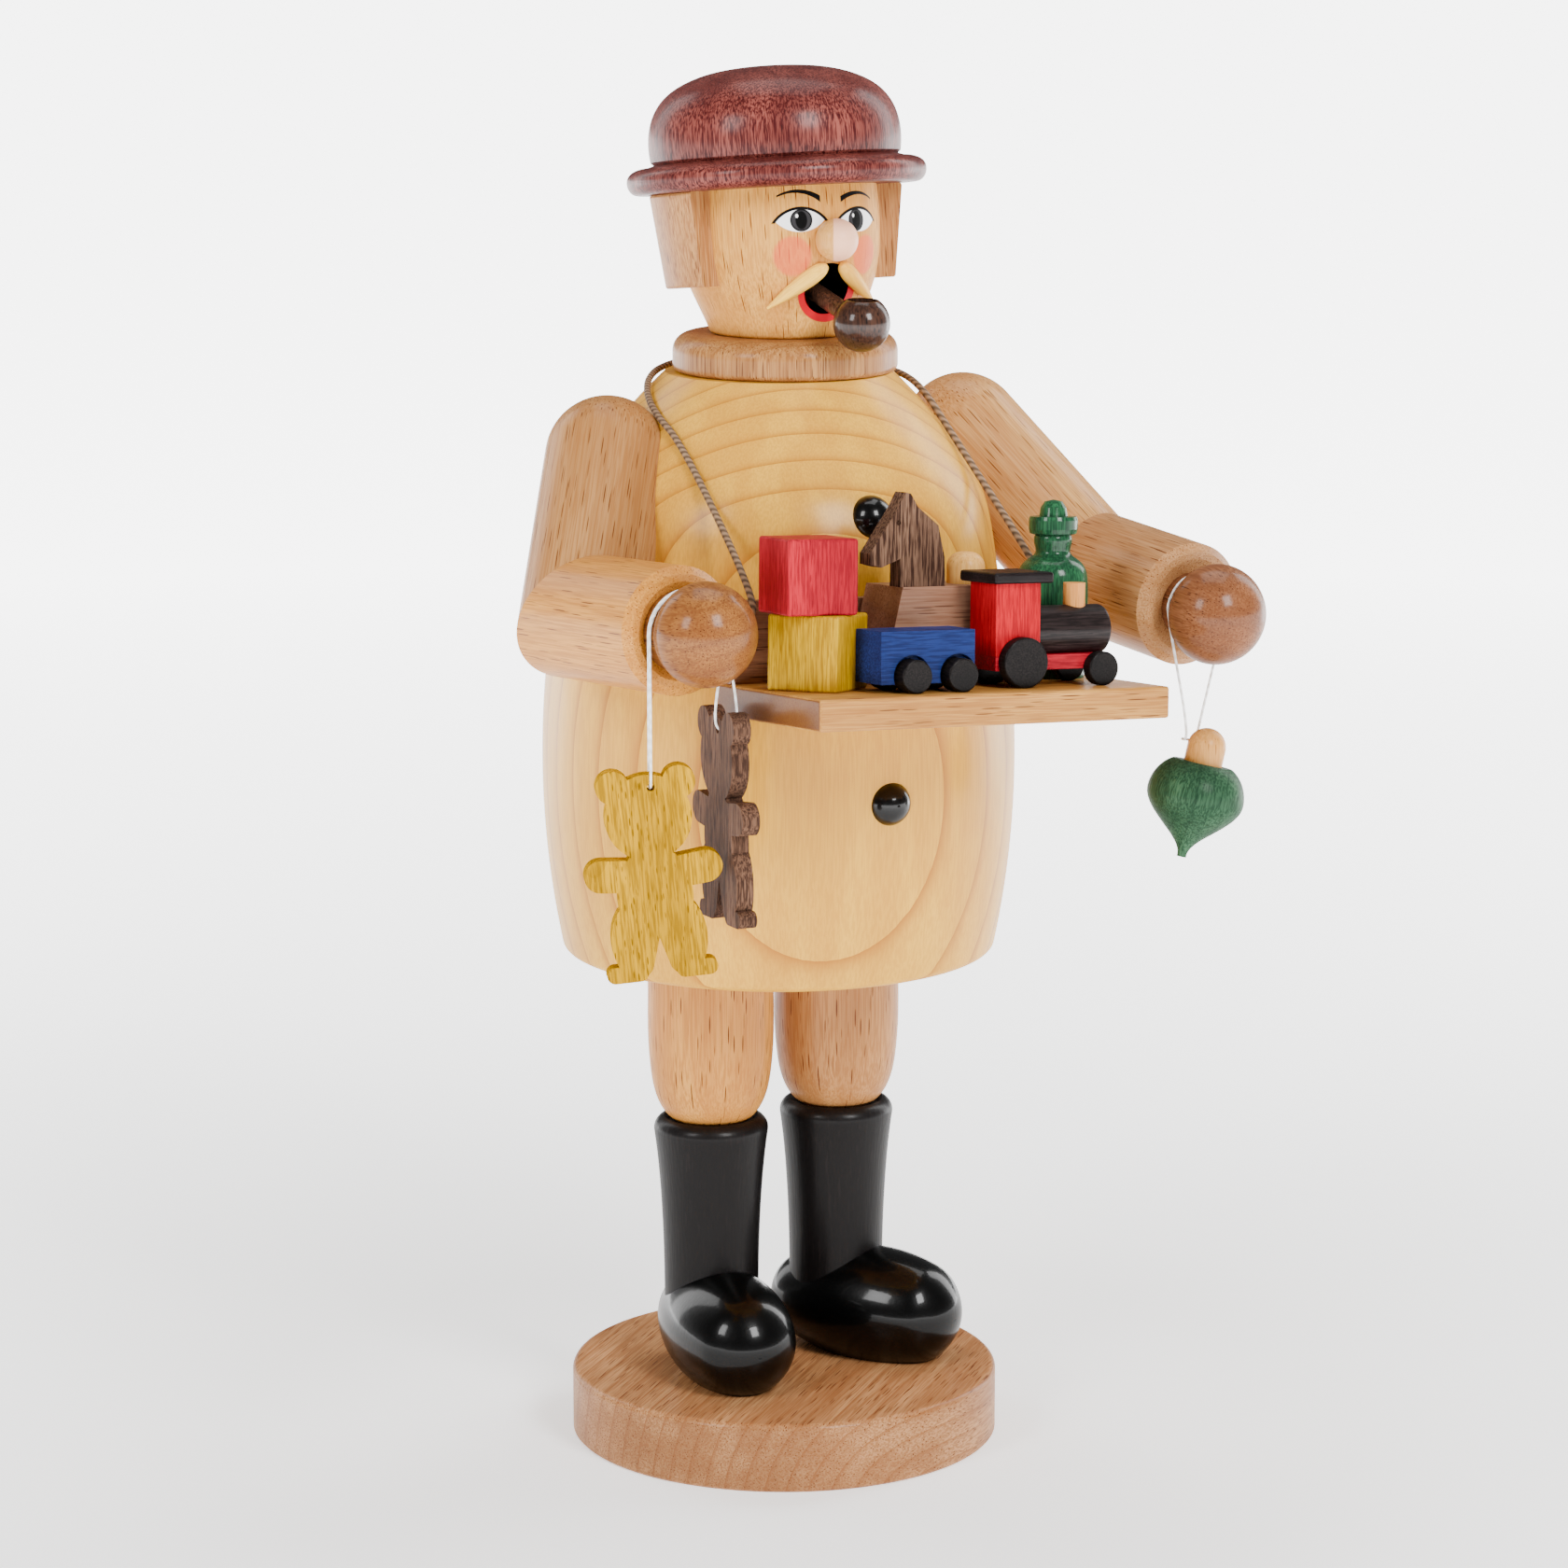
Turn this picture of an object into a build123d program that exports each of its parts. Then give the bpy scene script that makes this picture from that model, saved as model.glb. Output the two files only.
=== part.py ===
from build123d import *

import os
from math import acos, asin, atan2, cos, pi, radians, sin, tan

# Incense smoker: a turned wooden toy pedlar on a round base, in millimetres.
# He faces -Y, his left hand is at +X, +Z is up and the origin is the middle of the base's foot.
# The coat lifts off the leg plug, an incense cone burns on the dish, smoke leaves by the mouth.

os.makedirs("parts", exist_ok=True)

# Base
base_radius = 37.5
base_height = 12.0
base_top_round = 1.2
base_foot_chamfer = 0.4

# Boots, one under each leg
leg_spacing = 25.2
leg_setback = 3.7
shoe_length = 37.0
shoe_radius = 10.5
shoe_sole_drop = 8.4
shoe_lead = 6.3
right_toe_out = 8.5
left_toe_out = 29.0
heel_cap_radius = 8.5
toe_cap_radius = 9.0
shoe_cap_angle = 35.0
shoe_outline_shares = [(0.20, 0.80), (0.42, 0.98), (0.62, 1.0), (0.82, 0.865)]
boot_top = 57.6
boot_radius = 10.0
boot_outline_shares = [(0.83, 0.0), (0.84, 0.35), (0.88, 0.60), (0.94, 0.80), (1.0, 0.93)]
boot_rim_round = 1.8
boot_dish_radius = 7.6
boot_dish_depth = 1.1
shoe_peg_radius = 3.0
shoe_peg_length = 7.0
base_dowel_radius = 2.5
base_dowel_length = 14.0

# Legs
leg_radius = 11.0
leg_foot_radius = 5.4
leg_top = 88.4
leg_outline_shares = [(0.72, 0.055), (0.89, 0.17), (0.96, 0.30), (1.0, 0.50), (1.0, 0.80)]
leg_tenon_radius = 3.5
leg_foot_tenon = 8.0
leg_top_tenon_radius = 5.0
leg_top_tenon = 6.0

# Plug on the legs and dish for the incense cone
plug_flange_radius = 31.0
plug_flange_height = 5.0
plug_spigot_radius = 26.0
plug_spigot_height = 5.0
plug_clearance = 0.4
air_hole_radius = 2.5
air_hole_circle = 20.0
air_hole_count = 3
dish_radius = 13.0
dish_rim = 1.0
dish_thickness = 0.6
dish_height = 2.0
dish_recess = 0.8

# Coat
coat_setback = 2.0
coat_radius = 41.0
coat_bottom = 87.3
coat_height = 100.6
coat_hem_round = 1.6
coat_outline_shares = [(0.914, 0.0), (0.942, 0.059), (0.983, 0.183), (1.0, 0.331), (0.972, 0.524),
                       (0.914, 0.681), (0.840, 0.812), (0.751, 0.870), (0.642, 0.929),
                       (0.554, 0.969), (0.476, 1.0)]
chamber_radius = 27.0
chamber_height = 57.0
chamber_taper = 18.0
flue_radius = 5.5
button_radius = 3.7
button_height = 2.9
button_seat = 0.3
button_peg_radius = 1.2
button_peg_length = 4.0
button_height_shares = {"upper": 0.794, "lower": 0.320}
button_turns = {"upper": -2.4, "lower": -1.6}

# Collar and head
neck_shift = 1.3
collar_radius = 19.3
collar_height = 6.5
collar_top_round = 3.0
collar_foot_round = 1.2
head_tilt = 6.5
head_turn = 1.2
head_radius = 17.2
head_height = 24.4
head_foot_round = 0.8
head_foot_overrun = 3.0
head_outline_shares = [(0.700, -0.070), (0.727, 0.0), (0.765, 0.075), (0.855, 0.23), (0.930, 0.37),
                       (0.983, 0.56), (1.0, 0.75), (0.985, 1.0)]
head_flue_radius = 4.5
head_flue_height = 15.5
mouth_radius = 4.2
mouth_height = 7.0
hair_top_radius = 21.9
hair_bottom_radius = 19.9
hair_height = 16.0
hair_part_angle = 72.0
hair_edge_round = 0.5
hat_tenon_radius = 8.0
hat_tenon_length = 4.0

# Hat
brim_radius = 25.6
hat_height = 20.9
crown_radius = 21.6
brim_outline_shares = [(0.925, 0.0), (0.978, 0.028), (1.0, 0.092), (0.992, 0.150), (0.955, 0.192),
                       (0.872, 0.215)]
crown_outline_shares = [(0.990, 0.260), (1.0, 0.38), (0.988, 0.52), (0.945, 0.65), (0.862, 0.768),
                        (0.695, 0.882), (0.375, 0.974), (0.0, 1.0)]
hat_groove_share = 0.965

# Face pieces
nose_radius = 3.6
nose_reach = 19.0
nose_height = 15.0
nose_peg_radius = 1.3
nose_peg_length = 5.0
moustache_radius = 1.45
moustache_root_turn = 4.4
moustache_root_reach = 17.8
moustache_root_height = 10.9
moustache_tip_turn = 40.0
moustache_tip_reach = 16.2
moustache_tip_height = 4.2
moustache_outline_shares = [(0.25, 0.0), (0.68, 0.06), (0.96, 0.20), (0.95, 0.42), (0.58, 0.75),
                            (0.15, 1.0)]
pipe_bowl_radius = 4.8
pipe_bowl_reach = 25.6
pipe_bowl_height = 0.9
pipe_bowl_cut = 3.9
pipe_bore_radius = 2.6
pipe_bore_depth = 5.0
pipe_lean = 10.0
pipe_stem_radius = 1.6
pipe_stem_rise = 20.8
pipe_stem_seat = 2.0

# Arms
arm_radius = 10.5
shoulder_drop = 12.9
shoulder_spread = 34.9
arm_shift = 1.9
elbow_spread = 48.9
elbow_reach = 16.3
right_elbow_drop = 36.3
left_elbow_drop = 35.5
right_hand_x = -44.7
left_hand_x = 52.6
hand_reach = 54.3
right_hand_drop = 33.9
left_hand_drop = 38.3
cuff_setback = 6.6
cuff_bevel = 1.3
cuff_dish_radius = 8.0
cuff_dish_depth = 1.0
wrist_radii = {"right": 6.6, "left": 5.5}
wrist_length = 3.6
loop_seat = 1.7
hand_radius = 8.5
hand_length = 15.2
hand_outline_shares = [(0.90, 0.26), (1.0, 0.46), (0.93, 0.66), (0.70, 0.85), (0.38, 0.96), (0.0, 1.0)]
hand_tenon_radius = 3.0
hand_tenon_length = 8.0
shoulder_dowel_radius = 2.5
shoulder_dowel_length = 14.0
shoulder_dowel_drop = 9.0
shoulder_dowel_bite = 6.0

# Tray and its back board
tray_back = 36.5
tray_drop = 44.6
tray_roll = 3.04
tray_pitch = 4.5
tray_width = 65.6
tray_depth = 34.5
tray_thickness = 5.2
tray_edge_round = 0.5
back_board_thickness = 3.2
back_board_height = 13.6
back_board_inset = 0.8
cord_hole_inset = 3.6
cord_hole_height = 10.2
cord_hole_radius = 0.9
tray_dowel_radius = 1.5
tray_dowel_length = 12.0
tray_dowel_spacing = 16.0

# Toys on the tray, placed by their distance from the tray's middle and from its front edge. The back
# row fills the depth between the train and the back board
cube_edge = 12.3
cube_round = 0.5
yellow_corner = (-24.8, 9.0)
yellow_turn = 36.4
red_corner = (-32.0, 12.2)
red_turn = -5.4
horse_base_length = 19.8
horse_base_front = 18.1
horse_board_gap = 1.2
horse_base_width = tray_depth - back_board_thickness - horse_base_front - horse_board_gap
horse_base_height = 16.1
horse_base_slope = 3.7
horse_base_left = -7.4
horse_base_back = horse_base_front + horse_base_width / 2
horse_head_thickness = 3.4
horse_head_setback = 1.9
horse_head_height = 15.4
horse_head_left = -13.5
horse_head_width = 14.2
horse_outline_shares = [(0.40, 0.0), (0.40, 0.30), (0.15, 0.21), (0.0, 0.245), (0.0, 0.36),
                        (0.36, 0.83), (0.46, 1.0), (0.53, 0.985), (0.625, 0.845),
                        (0.90, 0.645), (0.985, 0.31), (1.0, 0.0)]
horse_eye_shares = (0.375, 0.68)
horse_eye_radius = 0.45
horse_eye_depth = 0.5
horse_peg_radius = 3.2
horse_peg_height = 5.2
horse_peg_across = 8.0
horse_peg_seat = 3.0
horse_peg_round_share = 0.8
wagon_length = 17.4
wagon_width = 8.2
wagon_height = 8.5
wagon_clearance = 1.5
wagon_left = -19.0
wagon_back = 9.0
wagon_arch_radius = 3.4
wagon_arch_depth = 1.6
wagon_wheel_radius = 2.75
wagon_wheel_width = 3.5
wagon_wheel_shares = (0.33, 0.825)
engine_back = 11.7
cab_left = 4.0
cab_length = 8.4
cab_top = 17.0
roof_left = 2.8
roof_length = 11.2
roof_overhang = 1.7
roof_thickness = 1.8
boiler_radius = 4.05
boiler_length = 14.0
boiler_height = 8.95
boiler_round = 0.6
chimney_radius = 1.82
chimney_rise = 7.65
chimney_seat = 2.0
chimney_across = 21.4
chassis_thickness = 2.4
chassis_bottom = 2.8
chassis_overrun = 2.2
rear_wheel_radius = 4.15
rear_wheel_across = 8.6
front_wheel_radius = 2.8
front_wheel_across = 23.5
engine_wheel_width = 2.2
wheel_round = 0.3
man_across = 25.1
man_front = 18.5
man_board_gap = 1.0
man_radius = (tray_depth - back_board_thickness - man_front - man_board_gap) / 2
man_height = 29.6
man_body_shares = [(0.93, 0.0), (0.97, 0.12), (1.0, 0.35), (1.0, 0.53), (0.907, 0.622), (0.68, 0.668),
                   (0.50, 0.70), (0.525, 0.75), (0.51, 0.80)]
man_hat_shares = [(0.66, 0.81), (0.69, 0.835), (0.69, 0.885), (0.66, 0.905), (0.40, 0.908),
                  (0.36, 0.955), (0.25, 0.99), (0.0, 1.0)]

# Hanging toys and their threads
thread_radius = 0.22
thread_gap = 0.1
strand_spacing = 0.56
strand_lead = 3.0
strand_clearance = 0.13
crest_clearance = 0.8
fold_radius = 0.5
corner_share = 0.45
bear_height = 35.2
bear_thickness = 3.0
bear_hole_radius = 0.65
bear_hole_shares = (0.023, 0.895)
bear_head_shares = (0.757, 0.199)
bear_ear_shares = (0.151, 0.909, 0.077)
bear_trunk_shares = (0.386, 0.172, 0.242)
bear_arm_shares = (0.497, 0.317, 0.150)
bear_arm_raise = 6.0
bear_thigh_shares = (0.112, 0.190, 0.108, 0.180)
bear_foot_shares = (0.160, 0.038, 0.190, 0.076)
bear_crotch_shares = (0.195, 0.058)
bear_drops = {"yellow": 24.3, "brown": 16.3}
bear_turns = {"yellow": 22.5, "brown": 97.0}
bear_rolls = {"yellow": 5.0, "brown": 3.0}
top_radius = 8.2
top_height = 16.5
top_outline_shares = [(0.10, 0.015), (0.96, 0.55), (1.0, 0.60), (1.0, 0.73), (0.96, 0.80), (0.78, 0.94),
                      (0.62, 1.0)]
top_lean = 14.5
top_shift = -3.7
top_forward = 1.8
top_drop = 42.5
knob_radius = 3.3
knob_height = 6.1
knob_peg_length = 4.0
knob_ring_height = 3.3
ring_end_gap = 0.8

# Neck cord
cord_radius = 0.58
cord_gap = 0.2
cord_bend_lift = 0.5
cord_fold_radius = 1.0
cord_edge_rise = 1.2
knot_radius = 1.35

# Small overrun for cuts that must pass right through
overrun = 0.5


def section_of(place, azimuth=0):
    """Plane through a piece's own axis: x runs outwards from the axis, y runs along it."""
    return Plane(place * Location((0, 0, 0), (0, 0, azimuth)) * Location((0, 0, 0), (90, 0, 0)))


def axis_of(place):
    """Turning axis of a piece that stands on its own Z."""
    plane = Plane(place)
    return Axis(plane.origin, plane.z_dir)


def outline(plane, points):
    """Flat face bounded by straight runs between the points."""
    with BuildSketch(plane) as drawn:
        with BuildLine():
            Polyline(*points, close=True)
        make_face()
    return drawn.sketch


def curved_outline(plane, curve, corners):
    """Flat face bounded by one smooth curve and by straight runs through the corners."""
    with BuildSketch(plane) as drawn:
        with BuildLine():
            Spline(*curve)
            Polyline(curve[-1], *corners, curve[0])
        make_face()
    return drawn.sketch


def scaled(shares, radius, height, foot=0):
    """Points of a turned outline from its shares of a radius and a height."""
    return [(r * radius, foot + z * height) for r, z in shares]


def between(start, end):
    """Place whose Z points from one point to another, with its X level."""
    along = Vector(end) - Vector(start)
    level = Vector(0, 0, 1).cross(along)
    return Plane(origin=start, x_dir=level, z_dir=along).location


def keep(made, name):
    """Label a finished piece and write its file."""
    made.part.label = name
    export_step(made.part, f"parts/{name}.step")


base_place = Location((0, 0, 0))
coat_place = Location((0, coat_setback, coat_bottom))
coat_top = coat_bottom + coat_height
collar_place = Location((neck_shift, coat_setback, coat_top))
head_place = Location((neck_shift, coat_setback, coat_top + collar_height), (-head_tilt, 0, head_turn))
head_plane = Plane(head_place)
tray_place = Location((0, -(tray_back + tray_depth), coat_top - tray_drop), (-tray_pitch, tray_roll, 0))
leg_sides = {"right": (-leg_spacing / 2, -right_toe_out), "left": (leg_spacing / 2, left_toe_out)}


def on_head(turn, reach, height):
    """Point in the row frame from a turn about the head's axis, a reach from it and a height."""
    x = reach * sin(radians(turn))
    y = -reach * cos(radians(turn))
    return head_plane.from_local_coords((x, y, height))


def on_tray(across, back, up=0, turn=0):
    """Place on the tray from the middle of its front top edge."""
    return tray_place * Location((across, back, up), (0, 0, turn))


def turned_blank(place, shares, radius, height):
    """Solid turned form without its bores, which neighbouring pieces are coped to."""
    curve = scaled(shares, radius, height)
    with BuildPart() as blank:
        revolve(curved_outline(section_of(place), curve, [(0, curve[-1][1]), (0, curve[0][1])]),
                axis=axis_of(place))
    return blank.part


def coat_blank():
    """The coat's outer form."""
    return turned_blank(coat_place, coat_outline_shares, coat_radius, coat_height)


def head_blank():
    """The head's outer form."""
    return turned_blank(head_place, head_outline_shares, head_radius, head_height)


# Base disc, with blind holes for the shoe dowels
with BuildPart() as base_disc:
    with BuildSketch():
        Circle(base_radius)
    extrude(amount=base_height)
    fillet(base_disc.edges().group_by(Axis.Z)[-1], base_top_round)
    chamfer(base_disc.edges().group_by(Axis.Z)[0], base_foot_chamfer)
    with Locations(*[(x, leg_setback, base_height) for x, _ in leg_sides.values()]):
        Hole(base_dowel_radius, depth=base_dowel_length / 2)
keep(base_disc, "base_disc")

with BuildPart() as base_dowels:
    dowel_foot = base_height - base_dowel_length / 2
    with BuildSketch(Plane.XY.offset(dowel_foot)):
        with Locations(*[(x, leg_setback) for x, _ in leg_sides.values()]):
            Circle(base_dowel_radius)
    extrude(amount=base_dowel_length)
keep(base_dowels, "base_dowels")

# Boots and legs
shoe_axis_height = base_height + shoe_sole_drop
shoe_top = shoe_axis_height + shoe_radius
boot_foot = shoe_axis_height
boot_height = boot_top - boot_foot
boot_dish = boot_top - boot_dish_depth
for side, (leg_x, toe_out) in leg_sides.items():
    leg_place = Location((leg_x, leg_setback, 0))
    shoe_place = Location((leg_x, leg_setback, shoe_axis_height), (0, 0, toe_out))
    heel_place = shoe_place * Location((0, shoe_length / 2 - shoe_lead, 0), (90, 0, 0))

    with BuildPart() as shoe:
        shoe_curve = [(r * shoe_radius, z * shoe_length) for z, r in shoe_outline_shares]
        cap_sine = sin(radians(shoe_cap_angle))
        cap_cosine = cos(radians(shoe_cap_angle))
        with BuildSketch(section_of(heel_place)):
            with BuildLine():
                heel = CenterArc((0, heel_cap_radius), heel_cap_radius, -90, shoe_cap_angle)
                toe = CenterArc((0, shoe_length - toe_cap_radius), toe_cap_radius,
                                90 - shoe_cap_angle, shoe_cap_angle)
                Spline(heel @ 1, *shoe_curve, toe @ 0,
                       tangents=[(cap_cosine, cap_sine), (-cap_cosine, cap_sine)])
                Line(toe @ 1, heel @ 0)
            make_face()
        revolve(axis=axis_of(heel_place))
        split(bisect_by=Plane.XY.offset(base_height), keep=Keep.TOP)
        with BuildSketch(Plane.XY.offset(base_height)):
            with Locations((leg_x, leg_setback)):
                Circle(base_dowel_radius)
        extrude(amount=base_dowel_length / 2, mode=Mode.SUBTRACT)
        with BuildSketch(Plane.XY.offset(shoe_top - shoe_peg_length)):
            with Locations((leg_x, leg_setback)):
                Circle(shoe_peg_radius)
        extrude(amount=shoe_peg_length + overrun, mode=Mode.SUBTRACT)
    keep(shoe, f"{side}_shoe")

    # The shaft is coped to the shoe, which leaves its peg in the shoe's bore
    with BuildPart() as shaft:
        boot_curve = scaled(boot_outline_shares, boot_radius, boot_height, boot_foot)
        rim_radius = boot_radius - boot_rim_round
        rim_drop = boot_top - boot_curve[-1][1]
        rim_middle = (rim_radius + boot_rim_round * sin(radians(45)),
                      boot_curve[-1][1] + rim_drop * sin(radians(45)))
        with BuildSketch(section_of(leg_place)):
            with BuildLine():
                Spline(*boot_curve)
                ThreePointArc(boot_curve[-1], rim_middle, (rim_radius, boot_top))
                Polyline((rim_radius, boot_top), (boot_dish_radius, boot_dish), (0, boot_dish),
                         (0, boot_foot), boot_curve[0])
            make_face()
        revolve(axis=axis_of(leg_place))
        add(shoe.part, mode=Mode.SUBTRACT)
        with BuildSketch(Plane.XY.offset(boot_dish - leg_foot_tenon)):
            with Locations((leg_x, leg_setback)):
                Circle(leg_tenon_radius)
        extrude(amount=leg_foot_tenon + overrun, mode=Mode.SUBTRACT)
    keep(shaft, f"{side}_boot_shaft")

    with BuildPart() as leg:
        leg_height = leg_top - boot_dish
        leg_curve = scaled(leg_outline_shares, leg_radius, leg_height, boot_dish)
        with BuildSketch(section_of(leg_place)):
            with BuildLine():
                Spline((leg_foot_radius, boot_dish), *leg_curve)
                Polyline(leg_curve[-1], (leg_radius, leg_top), (leg_top_tenon_radius, leg_top),
                         (leg_top_tenon_radius, leg_top + leg_top_tenon), (0, leg_top + leg_top_tenon),
                         (0, boot_dish - leg_foot_tenon), (leg_tenon_radius, boot_dish - leg_foot_tenon),
                         (leg_tenon_radius, boot_dish), (leg_foot_radius, boot_dish))
            make_face()
        revolve(axis=axis_of(leg_place))
    keep(leg, f"{side}_leg")

# Plug that closes the coat's mouth, with air holes round the dish
plug_place = Location((0, coat_setback, leg_top))
plug_height = plug_flange_height + plug_spigot_height
with BuildPart() as leg_plug:
    with BuildSketch(Plane(plug_place)):
        Circle(plug_flange_radius)
    extrude(amount=plug_flange_height)
    with BuildSketch(Plane(plug_place).offset(plug_flange_height)):
        Circle(plug_spigot_radius)
    extrude(amount=plug_spigot_height)
    with BuildSketch(Plane(plug_place).offset(plug_height - dish_recess)):
        Circle(dish_radius)
    extrude(amount=dish_recess, mode=Mode.SUBTRACT)
    with BuildSketch(Plane(plug_place)):
        with PolarLocations(air_hole_circle, air_hole_count, start_angle=90):
            Circle(air_hole_radius)
    extrude(amount=plug_height, mode=Mode.SUBTRACT)
    with BuildSketch(Plane.XY.offset(leg_top)):
        with Locations(*[(x, leg_setback) for x, _ in leg_sides.values()]):
            Circle(leg_top_tenon_radius)
    extrude(amount=leg_top_tenon, mode=Mode.SUBTRACT)
keep(leg_plug, "leg_plug")

dish_place = plug_place * Location((0, 0, plug_height - dish_recess))
with BuildPart() as cone_dish:
    dish_inner = dish_radius - dish_rim
    with BuildSketch(section_of(dish_place)):
        with BuildLine():
            Polyline((0, 0), (dish_inner, 0), (dish_radius, dish_height),
                     (dish_radius - dish_thickness, dish_height),
                     (dish_inner - dish_thickness, dish_thickness), (0, dish_thickness), (0, 0))
        make_face()
    revolve(axis=axis_of(dish_place))
keep(cone_dish, "cone_dish")

# Arms: mitred dowels coped to the coat
arms = {
    "right": ((arm_shift - shoulder_spread, coat_setback, coat_top - shoulder_drop),
              (arm_shift - elbow_spread, -elbow_reach, coat_top - right_elbow_drop),
              (right_hand_x, -hand_reach, coat_top - right_hand_drop)),
    "left": ((arm_shift + shoulder_spread, coat_setback, coat_top - shoulder_drop),
             (arm_shift + elbow_spread, -elbow_reach, coat_top - left_elbow_drop),
             (left_hand_x, -hand_reach, coat_top - left_hand_drop)),
}

# Dowels through the shoulders into the coat
with BuildPart() as shoulder_dowels:
    for side, (shoulder, elbow, _) in arms.items():
        along = (Vector(elbow) - Vector(shoulder)).normalized()
        seat = Vector(shoulder) + along * shoulder_dowel_drop
        inward = (Vector(0, coat_setback, seat.Z) - seat).normalized()
        start = seat - inward * (arm_radius - shoulder_dowel_bite)
        with BuildSketch(Plane(origin=start, z_dir=inward)):
            Circle(shoulder_dowel_radius)
        extrude(amount=shoulder_dowel_length)
keep(shoulder_dowels, "shoulder_dowels")

wrists = {}
for side, (shoulder, elbow, hand) in arms.items():
    upper_place = between(shoulder, elbow)
    fore_place = between(elbow, hand)
    upper_length = (Vector(elbow) - Vector(shoulder)).length
    fore_length = (Vector(hand) - Vector(elbow)).length - cuff_setback
    mitre = Plane(origin=elbow, z_dir=Plane(upper_place).z_dir + Plane(fore_place).z_dir)
    wrist_radius = wrist_radii[side]
    wrists[side] = fore_place * Location((0, 0, fore_length))

    with BuildPart() as upper_arm:
        with BuildSketch(Plane(upper_place)):
            Circle(arm_radius)
        extrude(amount=upper_length + 2 * arm_radius)
        with Locations(upper_place):
            Sphere(arm_radius)
        split(bisect_by=mitre, keep=Keep.BOTTOM)
        add(coat_blank(), mode=Mode.SUBTRACT)
        add(shoulder_dowels.part, mode=Mode.SUBTRACT)
    keep(upper_arm, f"{side}_upper_arm")

    with BuildPart() as forearm:
        with BuildSketch(Plane(fore_place).offset(-2 * arm_radius)):
            Circle(arm_radius)
        extrude(amount=fore_length + 2 * arm_radius)
        cuff_edge = forearm.edges().filter_by(GeomType.CIRCLE).sort_by_distance(Vector(hand))[0]
        chamfer(cuff_edge, cuff_bevel)
        split(bisect_by=mitre, keep=Keep.TOP)
        wrist_hollow = outline(section_of(wrists[side]),
                               [(0, overrun), (cuff_dish_radius + overrun, overrun),
                                (cuff_dish_radius, 0), (wrist_radius, -cuff_dish_depth),
                                (hand_tenon_radius, -cuff_dish_depth),
                                (hand_tenon_radius, -hand_tenon_length), (0, -hand_tenon_length)])
        revolve(wrist_hollow, axis=axis_of(wrists[side]), mode=Mode.SUBTRACT)
    keep(forearm, f"{side}_forearm")

    with BuildPart() as hand_knob:
        wrist_end = wrist_length - cuff_dish_depth
        hand_curve = scaled(hand_outline_shares, hand_radius, hand_length)
        with BuildSketch(section_of(wrists[side])):
            with BuildLine():
                Spline((wrist_radius, wrist_end), *hand_curve)
                Polyline(hand_curve[-1], (0, -hand_tenon_length), (hand_tenon_radius, -hand_tenon_length),
                         (hand_tenon_radius, -cuff_dish_depth), (wrist_radius, -cuff_dish_depth),
                         (wrist_radius, wrist_end))
            make_face()
        revolve(axis=axis_of(wrists[side]))
    keep(hand_knob, f"{side}_hand")

# Tray, its back board and the dowels that hold the tray to the coat
with BuildPart() as tray_dowels:
    dowel_start = on_tray(0, tray_depth - tray_dowel_length / 2, -tray_thickness / 2)
    with BuildSketch(Plane(dowel_start * Location((0, 0, 0), (-90, 0, 0)))):
        with Locations((-tray_dowel_spacing / 2, 0), (tray_dowel_spacing / 2, 0)):
            Circle(tray_dowel_radius)
    extrude(amount=tray_dowel_length)
keep(tray_dowels, "tray_dowels")

with BuildPart() as tray_board:
    with BuildSketch(Plane(on_tray(0, tray_depth / 2, -tray_thickness))):
        Rectangle(tray_width, tray_depth)
    extrude(amount=tray_thickness)
    fillet(tray_board.edges(), tray_edge_round)
    add(tray_dowels.part, mode=Mode.SUBTRACT)
keep(tray_board, "tray_board")

with BuildPart() as tray_back:
    board_middle = tray_depth - back_board_thickness / 2
    board_width = tray_width - 2 * back_board_inset
    hole_across = board_width / 2 - cord_hole_inset
    board_face = on_tray(0, tray_depth - back_board_thickness) * Location((0, 0, 0), (-90, 0, 0))
    with BuildSketch(Plane(on_tray(0, board_middle))):
        Rectangle(board_width, back_board_thickness)
    extrude(amount=back_board_height)
    with BuildSketch(Plane(board_face)):
        with Locations((-hole_across, -cord_hole_height), (hole_across, -cord_hole_height)):
            Circle(cord_hole_radius)
    extrude(amount=back_board_thickness, mode=Mode.SUBTRACT)
keep(tray_back, "tray_back_board")


coat_outside = coat_blank()


def on_coat(turn, height):
    """Where a level line from the coat's axis meets its outside, and the way out of the wood there."""
    outward = Vector(sin(radians(turn)), -cos(radians(turn)), 0)
    level = Vector(0, coat_setback, coat_bottom + height)
    hits = coat_outside.find_intersection_points(Axis(level, outward))
    point, normal = max(hits, key=lambda hit: (hit[0] - level).dot(outward))
    if normal.dot(outward) < 0:
        normal = -normal
    return point, normal


# Buttons: domes with a peg, set a little into the coat
buttons = {}
for name, share in button_height_shares.items():
    point, normal = on_coat(button_turns[name], share * coat_height)
    button_place = Plane(origin=point - normal * button_seat, x_dir=normal.cross(Vector(0, 0, 1)),
                         z_dir=normal).location
    with BuildPart() as button:
        dome_radius = (button_radius ** 2 + button_height ** 2) / (2 * button_height)
        dome_middle = (dome_radius * sin(asin(button_radius / dome_radius) / 2),
                       button_height - dome_radius * (1 - cos(asin(button_radius / dome_radius) / 2)))
        with BuildSketch(section_of(button_place)):
            with BuildLine():
                ThreePointArc((button_radius, 0), dome_middle, (0, button_height))
                Polyline((0, button_height), (0, -button_peg_length),
                         (button_peg_radius, -button_peg_length), (button_peg_radius, 0),
                         (button_radius, 0))
            make_face()
        revolve(axis=axis_of(button_place))
    keep(button, f"coat_button_{name}")
    buttons[name] = button.part

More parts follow.
